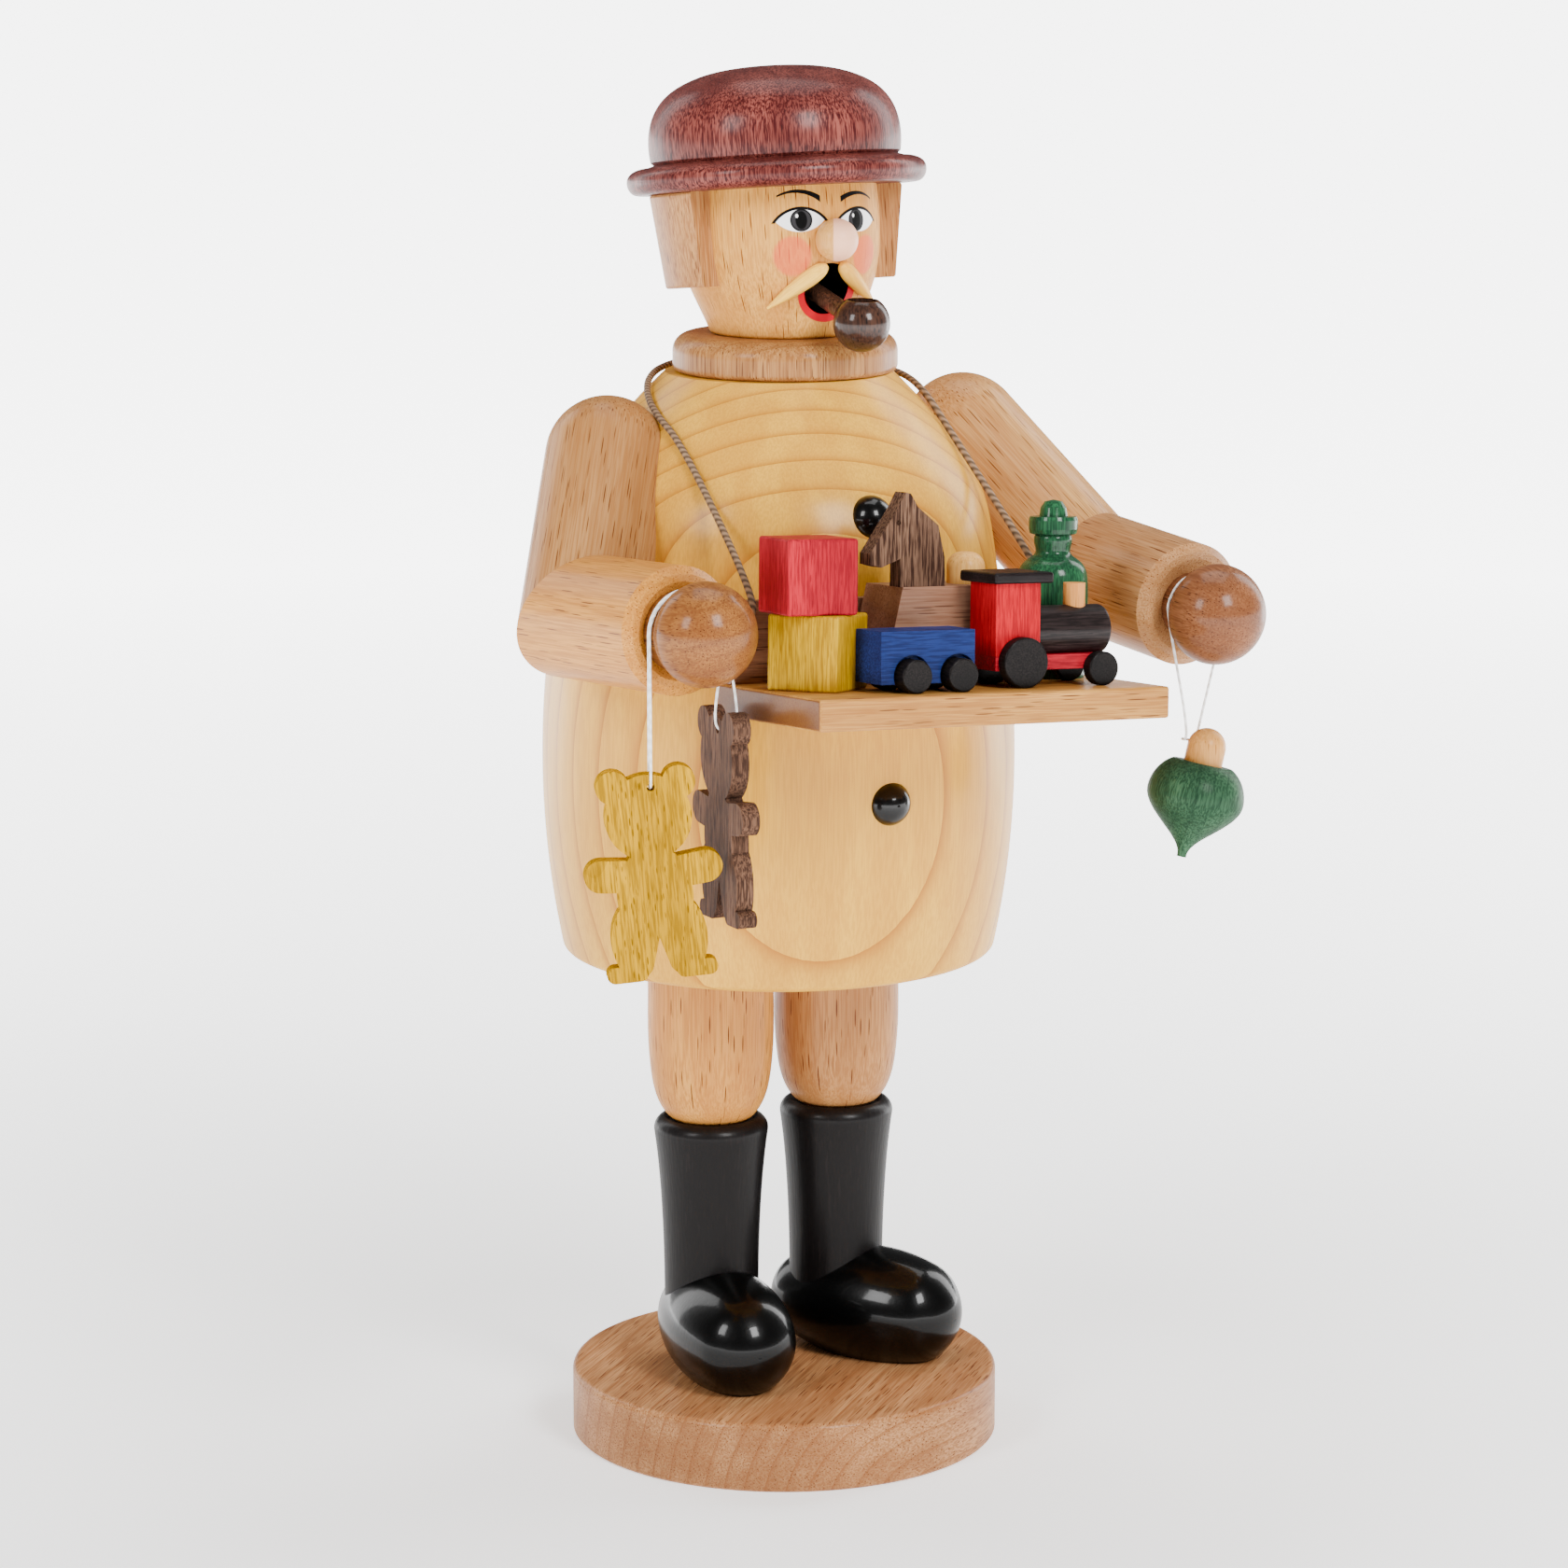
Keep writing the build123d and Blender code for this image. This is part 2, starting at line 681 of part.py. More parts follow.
# Coat: hollow, with a ledge for the plug, a smoke chamber, a flue and a flat for the tray
with BuildPart() as coat:
    add(coat_blank())
    fillet(coat.edges().group_by(Axis.Z)[0], coat_hem_round)
    plug_seat = leg_top + plug_flange_height - coat_bottom
    chamber_top = chamber_height + chamber_taper
    flange_bore = plug_flange_radius + plug_clearance
    coat_hollow = outline(section_of(coat_place),
                          [(0, -overrun), (flange_bore, -overrun), (flange_bore, plug_seat),
                           (chamber_radius, plug_seat), (chamber_radius, chamber_height),
                           (flue_radius, chamber_top), (flue_radius, coat_height + overrun),
                           (0, coat_height + overrun)])
    revolve(coat_hollow, axis=axis_of(coat_place), mode=Mode.SUBTRACT)
    with BuildSketch(Plane(on_tray(0, tray_depth / 2, -tray_thickness))):
        Rectangle(tray_width, tray_depth)
    extrude(amount=tray_thickness + back_board_height, mode=Mode.SUBTRACT)
    add(tray_dowels.part, mode=Mode.SUBTRACT)
    add(shoulder_dowels.part, mode=Mode.SUBTRACT)
    for button_part in buttons.values():
        add(button_part, mode=Mode.SUBTRACT)
keep(coat, "coat")

# Collar, turned ring with the flue through it
with BuildPart() as collar:
    with BuildSketch(Plane(collar_place)):
        Circle(collar_radius)
        Circle(flue_radius, mode=Mode.SUBTRACT)
    extrude(amount=collar_height)
    fillet(collar.edges().group_by(Axis.Z)[-1].sort_by(SortBy.RADIUS)[-1], collar_top_round)
    fillet(collar.edges().group_by(Axis.Z)[0].sort_by(SortBy.RADIUS)[-1], collar_foot_round)
keep(collar, "collar")

# Pipe: ball with a bored flat top, and a stem that runs through the mouth into the head's back wall
pipe_middle = Vector(0, -pipe_bowl_reach, pipe_bowl_height)
pipe_place = head_place * Location(pipe_middle, (pipe_lean, 0, 0))
stem_place = head_place * Location(pipe_middle, (-(90 - pipe_stem_rise), 0, 0))
stem_length = (pipe_bowl_reach + head_flue_radius + pipe_stem_seat) / cos(radians(pipe_stem_rise))
stem_start = pipe_bowl_radius - pipe_stem_seat
with BuildPart() as pipe_stem:
    with BuildSketch(Plane(stem_place).offset(stem_start)):
        Circle(pipe_stem_radius)
    extrude(amount=stem_length - stem_start)
keep(pipe_stem, "pipe_stem")

with BuildPart() as pipe_bowl:
    with Locations(pipe_place):
        Sphere(pipe_bowl_radius)
    split(bisect_by=Plane(pipe_place).offset(pipe_bowl_cut), keep=Keep.BOTTOM)
    with BuildSketch(Plane(pipe_place).offset(pipe_bowl_cut - pipe_bore_depth)):
        Circle(pipe_bore_radius)
    extrude(amount=pipe_bore_depth + overrun, mode=Mode.SUBTRACT)
    add(pipe_stem.part, mode=Mode.SUBTRACT)
keep(pipe_bowl, "pipe_bowl")

# Nose, a ball coped to the face with a peg into it
nose_place = head_place * Location((0, -nose_reach, nose_height), (-90, 0, 0))
with BuildPart() as nose:
    with Locations(nose_place):
        Sphere(nose_radius)
    add(head_blank(), mode=Mode.SUBTRACT)
    with BuildSketch(Plane(nose_place)):
        Circle(nose_peg_radius)
    extrude(amount=nose_peg_length)
keep(nose, "nose")

# Head: turned block with a flue up to a wide mouth hole and a tenon for the hat
with BuildPart() as head:
    add(head_blank())
    split(bisect_by=Plane(collar_place).offset(collar_height), keep=Keep.TOP)
    fillet(head.edges().group_by(Axis.Z)[0], head_foot_round)
    with BuildSketch(Plane(head_place).offset(head_height)):
        Circle(hat_tenon_radius)
    extrude(amount=hat_tenon_length)
    with BuildSketch(Plane(head_place).offset(-head_foot_overrun)):
        Circle(head_flue_radius)
    extrude(amount=head_foot_overrun + head_flue_height, mode=Mode.SUBTRACT)
    mouth_place = head_place * Location((0, 0, mouth_height), (90, 0, 0))
    with BuildSketch(Plane(mouth_place)):
        Circle(mouth_radius)
    extrude(amount=head_radius, mode=Mode.SUBTRACT)
    add(pipe_stem.part, mode=Mode.SUBTRACT)
    add(nose.part, mode=Mode.SUBTRACT)
keep(head, "head")

# Moustache, two turned spindles coped to the face
for side, hand_sign in (("right", -1), ("left", 1)):
    root = on_head(hand_sign * moustache_root_turn, moustache_root_reach, moustache_root_height)
    tip = on_head(hand_sign * moustache_tip_turn, moustache_tip_reach, moustache_tip_height)
    spindle_place = between(root, tip)
    spindle_length = (tip - root).length
    with BuildPart() as moustache:
        add(turned_blank(spindle_place, moustache_outline_shares, moustache_radius, spindle_length))
        add(head_blank(), mode=Mode.SUBTRACT)
        add(nose.part, mode=Mode.SUBTRACT)
    keep(moustache, f"{side}_moustache")

# Hair, a wreath round the back of the head under the hat
hair_foot = head_height - hair_height
hair_sweep = 360 - 2 * hair_part_angle
with BuildPart() as hair_wreath:
    hair_section = outline(section_of(head_place, hair_part_angle - 90),
                           [(0, hair_foot), (hair_bottom_radius, hair_foot),
                            (hair_top_radius, head_height), (0, head_height)])
    revolve(hair_section, axis=axis_of(head_place), revolution_arc=hair_sweep)
    hair_edges = hair_wreath.edges().filter_by(lambda edge: edge.length > hair_top_radius * pi)
    fillet(hair_edges, hair_edge_round)
    add(head_blank(), mode=Mode.SUBTRACT)
keep(hair_wreath, "hair_wreath")

# Hat: bowler with a round-edged brim, a groove above it and a blind hole for the head's tenon
hat_place = head_place * Location((0, 0, head_height))
with BuildPart() as hat:
    brim_curve = scaled(brim_outline_shares, brim_radius, hat_height)
    crown_curve = scaled(crown_outline_shares, crown_radius, hat_height)
    groove = (hat_groove_share * crown_radius, (brim_curve[-1][1] + crown_curve[0][1]) / 2)
    with BuildSketch(section_of(hat_place)):
        with BuildLine():
            Spline(*brim_curve)
            Polyline(brim_curve[-1], groove, crown_curve[0])
            Spline(*crown_curve)
            Polyline(crown_curve[-1], (0, hat_tenon_length), (hat_tenon_radius, hat_tenon_length),
                     (hat_tenon_radius, 0), brim_curve[0])
        make_face()
    revolve(axis=axis_of(hat_place))
keep(hat, "hat")

# Blocks on the tray, the red one on the yellow one
with BuildPart() as yellow_block:
    with BuildSketch(Plane(on_tray(*yellow_corner, 0, yellow_turn))):
        Rectangle(cube_edge, cube_edge, align=(Align.MIN, Align.MIN))
    extrude(amount=cube_edge)
    fillet(yellow_block.edges(), cube_round)
keep(yellow_block, "yellow_block")

with BuildPart() as red_block:
    with BuildSketch(Plane(on_tray(*red_corner, cube_edge, red_turn))):
        Rectangle(cube_edge, cube_edge, align=(Align.MIN, Align.MIN))
    extrude(amount=cube_edge)
    fillet(red_block.edges(), cube_round)
keep(red_block, "red_block")

# Toy horse: a block with one slanted end, a flat head on it and a round-topped peg behind
horse_top = on_tray(horse_base_left, horse_base_back, horse_base_height)
with BuildPart() as horse_base:
    block_face = (on_tray(horse_base_left, horse_base_back + horse_base_width / 2)
                  * Location((0, 0, 0), (90, 0, 0)))
    add(extrude(outline(Plane(block_face),
                        [(-horse_base_slope, 0), (horse_base_length, 0),
                         (horse_base_length, horse_base_height), (0, horse_base_height)]),
                amount=horse_base_width))
    peg_place = on_tray(horse_peg_across, horse_base_back, horse_base_height)
    with BuildSketch(Plane(peg_place).offset(-horse_peg_seat)):
        Circle(horse_peg_radius)
    extrude(amount=horse_peg_seat, mode=Mode.SUBTRACT)
keep(horse_base, "horse_base")

with BuildPart() as horse_peg:
    with BuildSketch(Plane(peg_place).offset(-horse_peg_seat)):
        Circle(horse_peg_radius)
    extrude(amount=horse_peg_seat + horse_peg_height)
    fillet(horse_peg.faces().sort_by(Axis(Plane(peg_place).origin, Plane(peg_place).z_dir))[-1].edges(),
           horse_peg_round_share * horse_peg_radius)
keep(horse_peg, "horse_peg")

with BuildPart() as horse_head:
    head_face = (on_tray(horse_head_left, horse_base_front + horse_head_setback + horse_head_thickness / 2,
                         horse_base_height)
                 * Location((0, 0, 0), (90, 0, 0)))
    horse_points = scaled(horse_outline_shares, horse_head_width, horse_head_height)
    add(extrude(outline(Plane(head_face), horse_points), amount=horse_head_thickness))
    eye_face = Plane(head_face).offset(horse_head_thickness - horse_eye_depth)
    with BuildSketch(eye_face):
        with Locations((horse_eye_shares[0] * horse_head_width, horse_eye_shares[1] * horse_head_height)):
            Circle(horse_eye_radius)
    extrude(amount=horse_eye_depth, mode=Mode.SUBTRACT)
keep(horse_head, "horse_head")


def disc_pair(across, axle_height, radius, back, track, width):
    """Two discs on one axle line above the tray, one on each side of a body of the given width."""
    with BuildPart() as discs:
        for start, towards in ((back - track / 2, -1), (back + track / 2, 1)):
            face = on_tray(across, start, axle_height) * Location((0, 0, 0), (-90 * towards, 0, 0))
            with BuildSketch(Plane(face)):
                Circle(radius)
            extrude(amount=width)
        fillet(discs.edges().filter_by(GeomType.CIRCLE), wheel_round)
    return discs.part


# Wagon: a block with shallow round recesses that its wheels stand in
with BuildPart() as wagon_body:
    with BuildSketch(Plane(on_tray(wagon_left, wagon_back, wagon_clearance))):
        Rectangle(wagon_length, wagon_width, align=(Align.MIN, Align.CENTER))
    extrude(amount=wagon_height)
    for start, towards in ((wagon_back - wagon_width / 2, 1), (wagon_back + wagon_width / 2, -1)):
        side_face = on_tray(wagon_left, start, wagon_wheel_radius) * Location((0, 0, 0), (-90, 0, 0))
        with BuildSketch(Plane(side_face)):
            with Locations(*[(share * wagon_length, 0) for share in wagon_wheel_shares]):
                Circle(wagon_arch_radius)
        extrude(amount=towards * wagon_arch_depth, mode=Mode.SUBTRACT)
keep(wagon_body, "wagon_body")

with BuildPart() as wagon_wheels:
    for share in wagon_wheel_shares:
        add(disc_pair(wagon_left + share * wagon_length, wagon_wheel_radius, wagon_wheel_radius,
                      wagon_back, wagon_width - 2 * wagon_arch_depth, wagon_wheel_width))
keep(wagon_wheels, "wagon_wheels")

# Engine
cab_bottom = chassis_bottom + chassis_thickness
with BuildPart() as loco_cab:
    with BuildSketch(Plane(on_tray(cab_left, engine_back, cab_bottom))):
        Rectangle(cab_length, 2 * boiler_radius, align=(Align.MIN, Align.CENTER))
    extrude(amount=cab_top - cab_bottom)
keep(loco_cab, "loco_cab")

with BuildPart() as loco_roof:
    with BuildSketch(Plane(on_tray(roof_left, engine_back, cab_top))):
        Rectangle(roof_length, 2 * (boiler_radius + roof_overhang), align=(Align.MIN, Align.CENTER))
    extrude(amount=roof_thickness)
    fillet(loco_roof.edges(), cube_round)
keep(loco_roof, "loco_roof")

boiler_place = on_tray(cab_left + cab_length, engine_back, boiler_height) * Location((0, 0, 0), (0, 90, 0))
with BuildPart() as boiler_blank:
    with BuildSketch(Plane(boiler_place)):
        Circle(boiler_radius)
    extrude(amount=boiler_length)

chimney_place = on_tray(chimney_across, engine_back, boiler_height)
with BuildPart() as loco_chimney:
    with BuildSketch(Plane(chimney_place).offset(boiler_radius - chimney_seat)):
        Circle(chimney_radius)
    extrude(amount=chimney_rise - boiler_radius + chimney_seat)
keep(loco_chimney, "loco_chimney")

with BuildPart() as loco_boiler:
    add(boiler_blank.part)
    far_end = Axis(Plane(boiler_place).origin, Plane(boiler_place).z_dir)
    fillet(loco_boiler.edges().filter_by(GeomType.CIRCLE).sort_by(far_end)[-1], boiler_round)
    add(loco_chimney.part, mode=Mode.SUBTRACT)
keep(loco_boiler, "loco_boiler")

chassis_length = front_wheel_across + chassis_overrun - cab_left
with BuildPart() as loco_chassis:
    with BuildSketch(Plane(on_tray(cab_left, engine_back, chassis_bottom))):
        Rectangle(chassis_length, 2 * boiler_radius, align=(Align.MIN, Align.CENTER))
    extrude(amount=chassis_thickness)
    add(boiler_blank.part, mode=Mode.SUBTRACT)
keep(loco_chassis, "loco_chassis")

with BuildPart() as loco_rear_wheels:
    add(disc_pair(rear_wheel_across, rear_wheel_radius, rear_wheel_radius, engine_back,
                  2 * boiler_radius, engine_wheel_width))
keep(loco_rear_wheels, "loco_rear_wheels")

with BuildPart() as loco_front_wheels:
    add(disc_pair(front_wheel_across, front_wheel_radius, front_wheel_radius, engine_back,
                  2 * boiler_radius, engine_wheel_width))
keep(loco_front_wheels, "loco_front_wheels")

# Turned toy man
man_tray_place = on_tray(man_across, man_front + man_radius)
with BuildPart() as green_man:
    man_body = scaled(man_body_shares, man_radius, man_height)
    man_hat = scaled(man_hat_shares, man_radius, man_height)
    revolve(curved_outline(section_of(man_tray_place), man_body, [*man_hat, (0, 0)]),
            axis=axis_of(man_tray_place))
keep(green_man, "green_man")


def run_radii(points, folds):
    """One radius for each corner: as large as its runs allow, or the given fold where it is tight."""
    radii = []
    for before, corner, after, fold in zip(points, points[1:], points[2:], folds):
        run_in = Vector(corner) - Vector(before)
        run_out = Vector(after) - Vector(corner)
        turn = radians(run_in.get_angle(run_out) / 2)
        largest = corner_share * min(run_in.length, run_out.length) / tan(turn)
        radii.append(min(largest, fold) if fold else largest)
    return radii


def print_route(name, points, radii, made, path, radius):
    """Print a cord's points, its corner radii, its length and how full its tube is."""
    length = sum(edge.length for edge in path.edges())
    print(name, [tuple(round(value, 3) for value in Vector(point)) for point in points])
    print("  radii", [round(corner, 2) for corner in radii], "length", round(length, 2),
          "volume share", round(made.part.volume / (length * pi * radius ** 2), 4))


# Threads over the wrists
up = Vector(0, 0, 1)
wrist_middles = {side: Plane(place).offset(loop_seat).origin for side, place in wrists.items()}
loop_radii = {side: radius + thread_radius + thread_gap for side, radius in wrist_radii.items()}
saddle_plane = Plane(origin=wrist_middles["right"])
with BuildPart() as bear_thread_saddle:
    with BuildSketch(saddle_plane):
        with Locations((loop_radii["right"], -strand_spacing / 2),
                       (loop_radii["right"], strand_spacing / 2)):
            Circle(thread_radius)
    revolve(axis=Axis(saddle_plane.origin, (0, -1, 0)), revolution_arc=180)
keep(bear_thread_saddle, "bear_thread_saddle")

for name, wrist_side in (("yellow", -1), ("brown", 1)):
    facing = Vector(-sin(radians(bear_turns[name])), -cos(radians(bear_turns[name])), 0)
    rightwards = up.cross(facing)
    hang = wrist_middles["right"] + Vector(wrist_side * loop_radii["right"], 0, 0)
    hole = hang - up * bear_drops[name]
    bear_plane = Plane(origin=hole - facing * (bear_thickness / 2), x_dir=rightwards, z_dir=facing)
    bear_middle = bear_plane.location * Location((0, 0, 0), (0, 0, bear_rolls[name]))
    feet = bear_middle * Location((-bear_hole_shares[0] * bear_height,
                                   -bear_hole_shares[1] * bear_height, 0))

    with BuildPart() as bear:
        with BuildSketch(Plane(feet)):
            with Locations((0, bear_head_shares[0] * bear_height)):
                Circle(bear_head_shares[1] * bear_height)
            with Locations((0, bear_trunk_shares[0] * bear_height)):
                Ellipse(bear_trunk_shares[1] * bear_height, bear_trunk_shares[2] * bear_height)
            for half in (-1, 1):
                with Locations((half * bear_ear_shares[0] * bear_height, bear_ear_shares[1] * bear_height)):
                    Circle(bear_ear_shares[2] * bear_height)
                with Locations((half * bear_arm_shares[1] * bear_height / 2,
                                bear_arm_shares[0] * bear_height)):
                    SlotOverall(bear_arm_shares[1] * bear_height, bear_arm_shares[2] * bear_height,
                                rotation=half * bear_arm_raise)
                with Locations((half * bear_thigh_shares[0] * bear_height,
                                bear_thigh_shares[1] * bear_height)):
                    Ellipse(bear_thigh_shares[2] * bear_height, bear_thigh_shares[3] * bear_height)
                with Locations((half * bear_foot_shares[0] * bear_height,
                                bear_foot_shares[1] * bear_height)):
                    SlotOverall(bear_foot_shares[2] * bear_height, bear_foot_shares[3] * bear_height)
            add(outline(Plane.XY, [(-bear_crotch_shares[1] * bear_height, 0),
                                   (bear_crotch_shares[1] * bear_height, 0),
                                   (0, bear_crotch_shares[0] * bear_height)]), mode=Mode.SUBTRACT)
            with Locations((bear_hole_shares[0] * bear_height, bear_hole_shares[1] * bear_height)):
                Circle(bear_hole_radius, mode=Mode.SUBTRACT)
        extrude(amount=bear_thickness)
    keep(bear, f"{name}_bear")

    with BuildPart() as bear_thread:
        reach = bear_thickness / 2 + thread_radius + strand_clearance
        crest = (1 - bear_hole_shares[1]) * bear_height + crest_clearance
        across = Vector(0, strand_spacing / 2, 0)
        front_first = -1 if facing.dot(across) < 0 else 1
        lead = up * strand_lead
        route = [hang + across * front_first, hang + across * front_first - lead,
                 hole + facing * reach + up * crest, hole + facing * reach,
                 hole - facing * reach, hole - facing * reach + up * crest,
                 hang - across * front_first - lead, hang - across * front_first]
        radii = run_radii(route, [0, 0, fold_radius, fold_radius, 0, 0])
        with BuildLine() as path:
            FilletPolyline(*route, radius=radii)
        with BuildSketch(Plane(origin=path.line @ 0, z_dir=path.line % 0)):
            Circle(thread_radius)
        sweep()
    keep(bear_thread, f"{name}_bear_thread")
    print_route(f"{name}_bear_thread", route, radii, bear_thread, path, thread_radius)

# Spinning top: turned body, a knob in its end, and a thread round the knob and over the left wrist
top_wrist = wrist_middles["left"]
top_place = (Location(top_wrist + Vector(top_shift, -top_forward, -top_drop))
             * Location((0, 0, 0), (0, top_lean, 0)))
knob_place = top_place * Location((0, 0, top_height))
with BuildPart() as top_body:
    top_curve = scaled(top_outline_shares, top_radius, top_height)
    revolve(curved_outline(section_of(top_place), top_curve, [(0, top_height), (0, top_curve[0][1])]),
            axis=axis_of(top_place))
    with BuildSketch(Plane(knob_place).offset(-knob_peg_length)):
        Circle(knob_radius)
    extrude(amount=knob_peg_length + overrun, mode=Mode.SUBTRACT)
keep(top_body, "top_body")

with BuildPart() as top_knob:
    dome_foot = knob_height - knob_radius
    with BuildSketch(section_of(knob_place)):
        with BuildLine():
            CenterArc((0, dome_foot), knob_radius, 0, 90)
            Polyline((0, knob_height), (0, -knob_peg_length), (knob_radius, -knob_peg_length),
                     (knob_radius, dome_foot))
        make_face()
    revolve(axis=axis_of(knob_place))
keep(top_knob, "top_knob")

ring_reach = knob_radius + thread_radius + thread_gap
knob_ring = Plane(knob_place).offset(knob_ring_height)
ring_side = knob_ring.from_local_coords((-ring_reach, 0, 0))
ring_corner = knob_ring.from_local_coords((-ring_reach, ring_reach, 0))
ring_back = knob_ring.from_local_coords((0, ring_reach, 0))
ring_end = knob_ring.from_local_coords((-ring_end_gap, ring_reach, 0))
loop_radius = loop_radii["left"]


def loop_touch(point, side):
    """Where a strand from the point leaves the loop over the left wrist, and its level direction."""
    gap = Vector(point.X - top_wrist.X, 0, point.Z - top_wrist.Z)
    spread = acos(loop_radius / gap.length)
    bearing = atan2(gap.Z, gap.X) + side * spread
    touch = top_wrist + Vector(cos(bearing), 0, sin(bearing)) * loop_radius
    return touch, (Vector(point.X, top_wrist.Y, point.Z) - touch).normalized()


right_touch, right_run = loop_touch(ring_back, 1)
left_touch, left_run = loop_touch(ring_side, -1)
back_route = [ring_back, right_touch + right_run * strand_lead, right_touch]
front_route = [left_touch, left_touch + left_run * strand_lead, ring_side, ring_corner, ring_end]
back_radii = run_radii(back_route, [0])
front_radii = run_radii(front_route, [0, fold_radius, knob_radius])
with BuildPart() as top_thread:
    with BuildLine() as path:
        FilletPolyline(*back_route, radius=back_radii)
        ThreePointArc(right_touch, top_wrist + up * loop_radius, left_touch)
        FilletPolyline(*front_route, radius=front_radii)
    with BuildSketch(Plane(origin=back_route[0], z_dir=back_route[1] - back_route[0])):
        Circle(thread_radius)
    sweep(path=path.wires()[0])
keep(top_thread, "top_thread")
print_route("top_thread", back_route + front_route, back_radii + front_radii, top_thread, path,
            thread_radius)

# Neck cord: out of the back board's right hole, over its edge and the shoulder, round behind the
# collar and down to the left hole, with a knot behind each hole
board_front = tray_depth - back_board_thickness
cord_front = board_front - cord_radius - cord_gap
cord_lift = cord_radius + cord_gap


def board_route(side):
    """A cord's way from behind the back board through its hole and over the board's top edge."""
    across = side * hole_across
    return [Plane(on_tray(across, tray_depth, cord_hole_height)).origin,
            Plane(on_tray(across, cord_front, cord_hole_height)).origin,
            Plane(on_tray(across, cord_front, back_board_height + cord_edge_rise)).origin]


def over_coat(turn, drop, lift=0.0):
    """A cord's middle where it lies on the coat, a drop below the coat's top."""
    point, normal = on_coat(turn, coat_height - drop)
    return point + normal * (cord_lift + lift)


cord_turns = [(-62, 10.1), (-82, 6.0), (-104, 3.0), (-128, 1.2), (-153, 0.6), (-178, 0.7),
              (157, 1.2), (133, 1.6), (109, 1.7), (88, 2.0), (70, 2.8), (60, 5.2), (57, 8.7)]
cord_ends = [over_coat(*cord_turns[0]), over_coat(*cord_turns[-1])]
cord_bends = [over_coat(turn, drop, cord_bend_lift) for turn, drop in cord_turns[1:-1]]
cord_route = [*board_route(-1), cord_ends[0], *cord_bends, cord_ends[1], *reversed(board_route(1))]
cord_folds = [cord_fold_radius] * 2 + [0] * len(cord_turns) + [cord_fold_radius] * 2
cord_radii = run_radii(cord_route, cord_folds)
with BuildPart() as neck_cord:
    with BuildLine() as path:
        FilletPolyline(*cord_route, radius=cord_radii)
    with BuildSketch(Plane(origin=cord_route[0], z_dir=cord_route[1] - cord_route[0])):
        Circle(cord_radius)
    sweep()
keep(neck_cord, "neck_cord")
print_route("neck_cord", cord_route, cord_radii, neck_cord, path, cord_radius)

with BuildPart() as cord_knots:
    for side in (-1, 1):
        with Locations(on_tray(side * hole_across, tray_depth + knot_radius, cord_hole_height)):
            Sphere(knot_radius)
keep(cord_knots, "cord_knots")
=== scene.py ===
from math import cos, pi, radians, sin

import bmesh
import bpy
from mathutils import Matrix, Vector


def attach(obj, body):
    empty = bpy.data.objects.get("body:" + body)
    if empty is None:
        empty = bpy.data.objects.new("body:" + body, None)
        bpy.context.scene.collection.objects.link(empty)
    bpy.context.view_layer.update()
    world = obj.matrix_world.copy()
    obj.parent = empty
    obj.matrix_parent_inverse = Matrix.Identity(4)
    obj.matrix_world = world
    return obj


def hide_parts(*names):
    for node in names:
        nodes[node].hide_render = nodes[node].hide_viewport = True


# Wooden incense smoker: a toy pedlar with a tray. The CAD pieces keep their shape and get their
# finish here, and the threads and the neck cord are made as smooth strands along the same routes.

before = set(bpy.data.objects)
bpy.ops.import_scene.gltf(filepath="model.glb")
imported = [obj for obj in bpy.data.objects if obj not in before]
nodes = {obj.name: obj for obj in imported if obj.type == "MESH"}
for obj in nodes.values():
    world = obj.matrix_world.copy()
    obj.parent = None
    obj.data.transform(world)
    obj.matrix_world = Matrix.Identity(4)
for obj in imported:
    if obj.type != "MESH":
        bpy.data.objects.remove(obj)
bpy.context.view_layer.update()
MM = 0.001

# Camera, as the photograph was taken: place and lens in millimetres, angles in degrees, and its
# reach in metres
CAMERA_PLACE = (-413.1, -745.2, 286.0)
CAMERA_TURN = -29.0
CAMERA_DIP = 11.281
CAMERA_LENS = 114.86
CAMERA_FILM = 36.0
CAMERA_REACH = 20

# Studio: the point in millimetres that the lights look at, and the paper in metres. The paper glows
# faintly round the object and brightly beyond, between the two distances of GLOW_REACH
LIT_MIDDLE = (0, 0, 120)
FLOOR_SIZE = 16.0
GLOW_REACH = (0.1, 1.0)
GLOW = (0.7, 6.0)
SURROUNDINGS = 0.14

# Lights: turn from the camera's side in degrees, height, distance and size in metres, and power in
# watts
LIGHTS = {
    "light_left_side": (-132, 0.32, 0.62, (0.22, 0.7), 2.2),
    "light_right_side": (128, 0.32, 0.62, (0.22, 0.7), 4.0),
    "light_left_front": (-42, 0.62, 0.85, (0.26, 0.36), 5.5),
    "light_right_front": (34, 0.70, 0.85, (0.28, 0.38), 10.5),
    "light_top": (170, 1.1, 0.25, (0.7, 0.7), 6),
}

# Places of turned pieces in the row frame, in millimetres and degrees. An axis is x, y and radius
HEAD_MIDDLE = (1.3, 2.0, 194.4)
HEAD_TILT = -6.5
HEAD_TURN = 1.2
HEAD_LIE = Matrix.Rotation(radians(HEAD_TILT), 3, "X") @ Matrix.Rotation(radians(HEAD_TURN), 3, "Z")
COLLAR_MIDDLE = (1.3, 2.0, 188.0)
COAT_MIDDLE = (0.0, 2.0, 87.3)
LEG_AXES = {"right": (-12.6, 3.7, 10.0), "left": (12.6, 3.7, 10.0)}
TRAY_MIDDLE = (0.0, -71.0, 143.3)
TRAY_PITCH = -4.5
TRAY_ROLL = 3.04
TRAY_LIE = Matrix.Rotation(radians(TRAY_PITCH), 3, "X") @ Matrix.Rotation(radians(TRAY_ROLL), 3, "Y")

# Threads and cord: diameters in millimetres, and how finely their tubes are divided
THREAD_DIAMETER = 0.44
CORD_DIAMETER = 1.16
STRAND_SIDES = 4
STRAND_ORDER = 3
STRAND_STEPS = 10

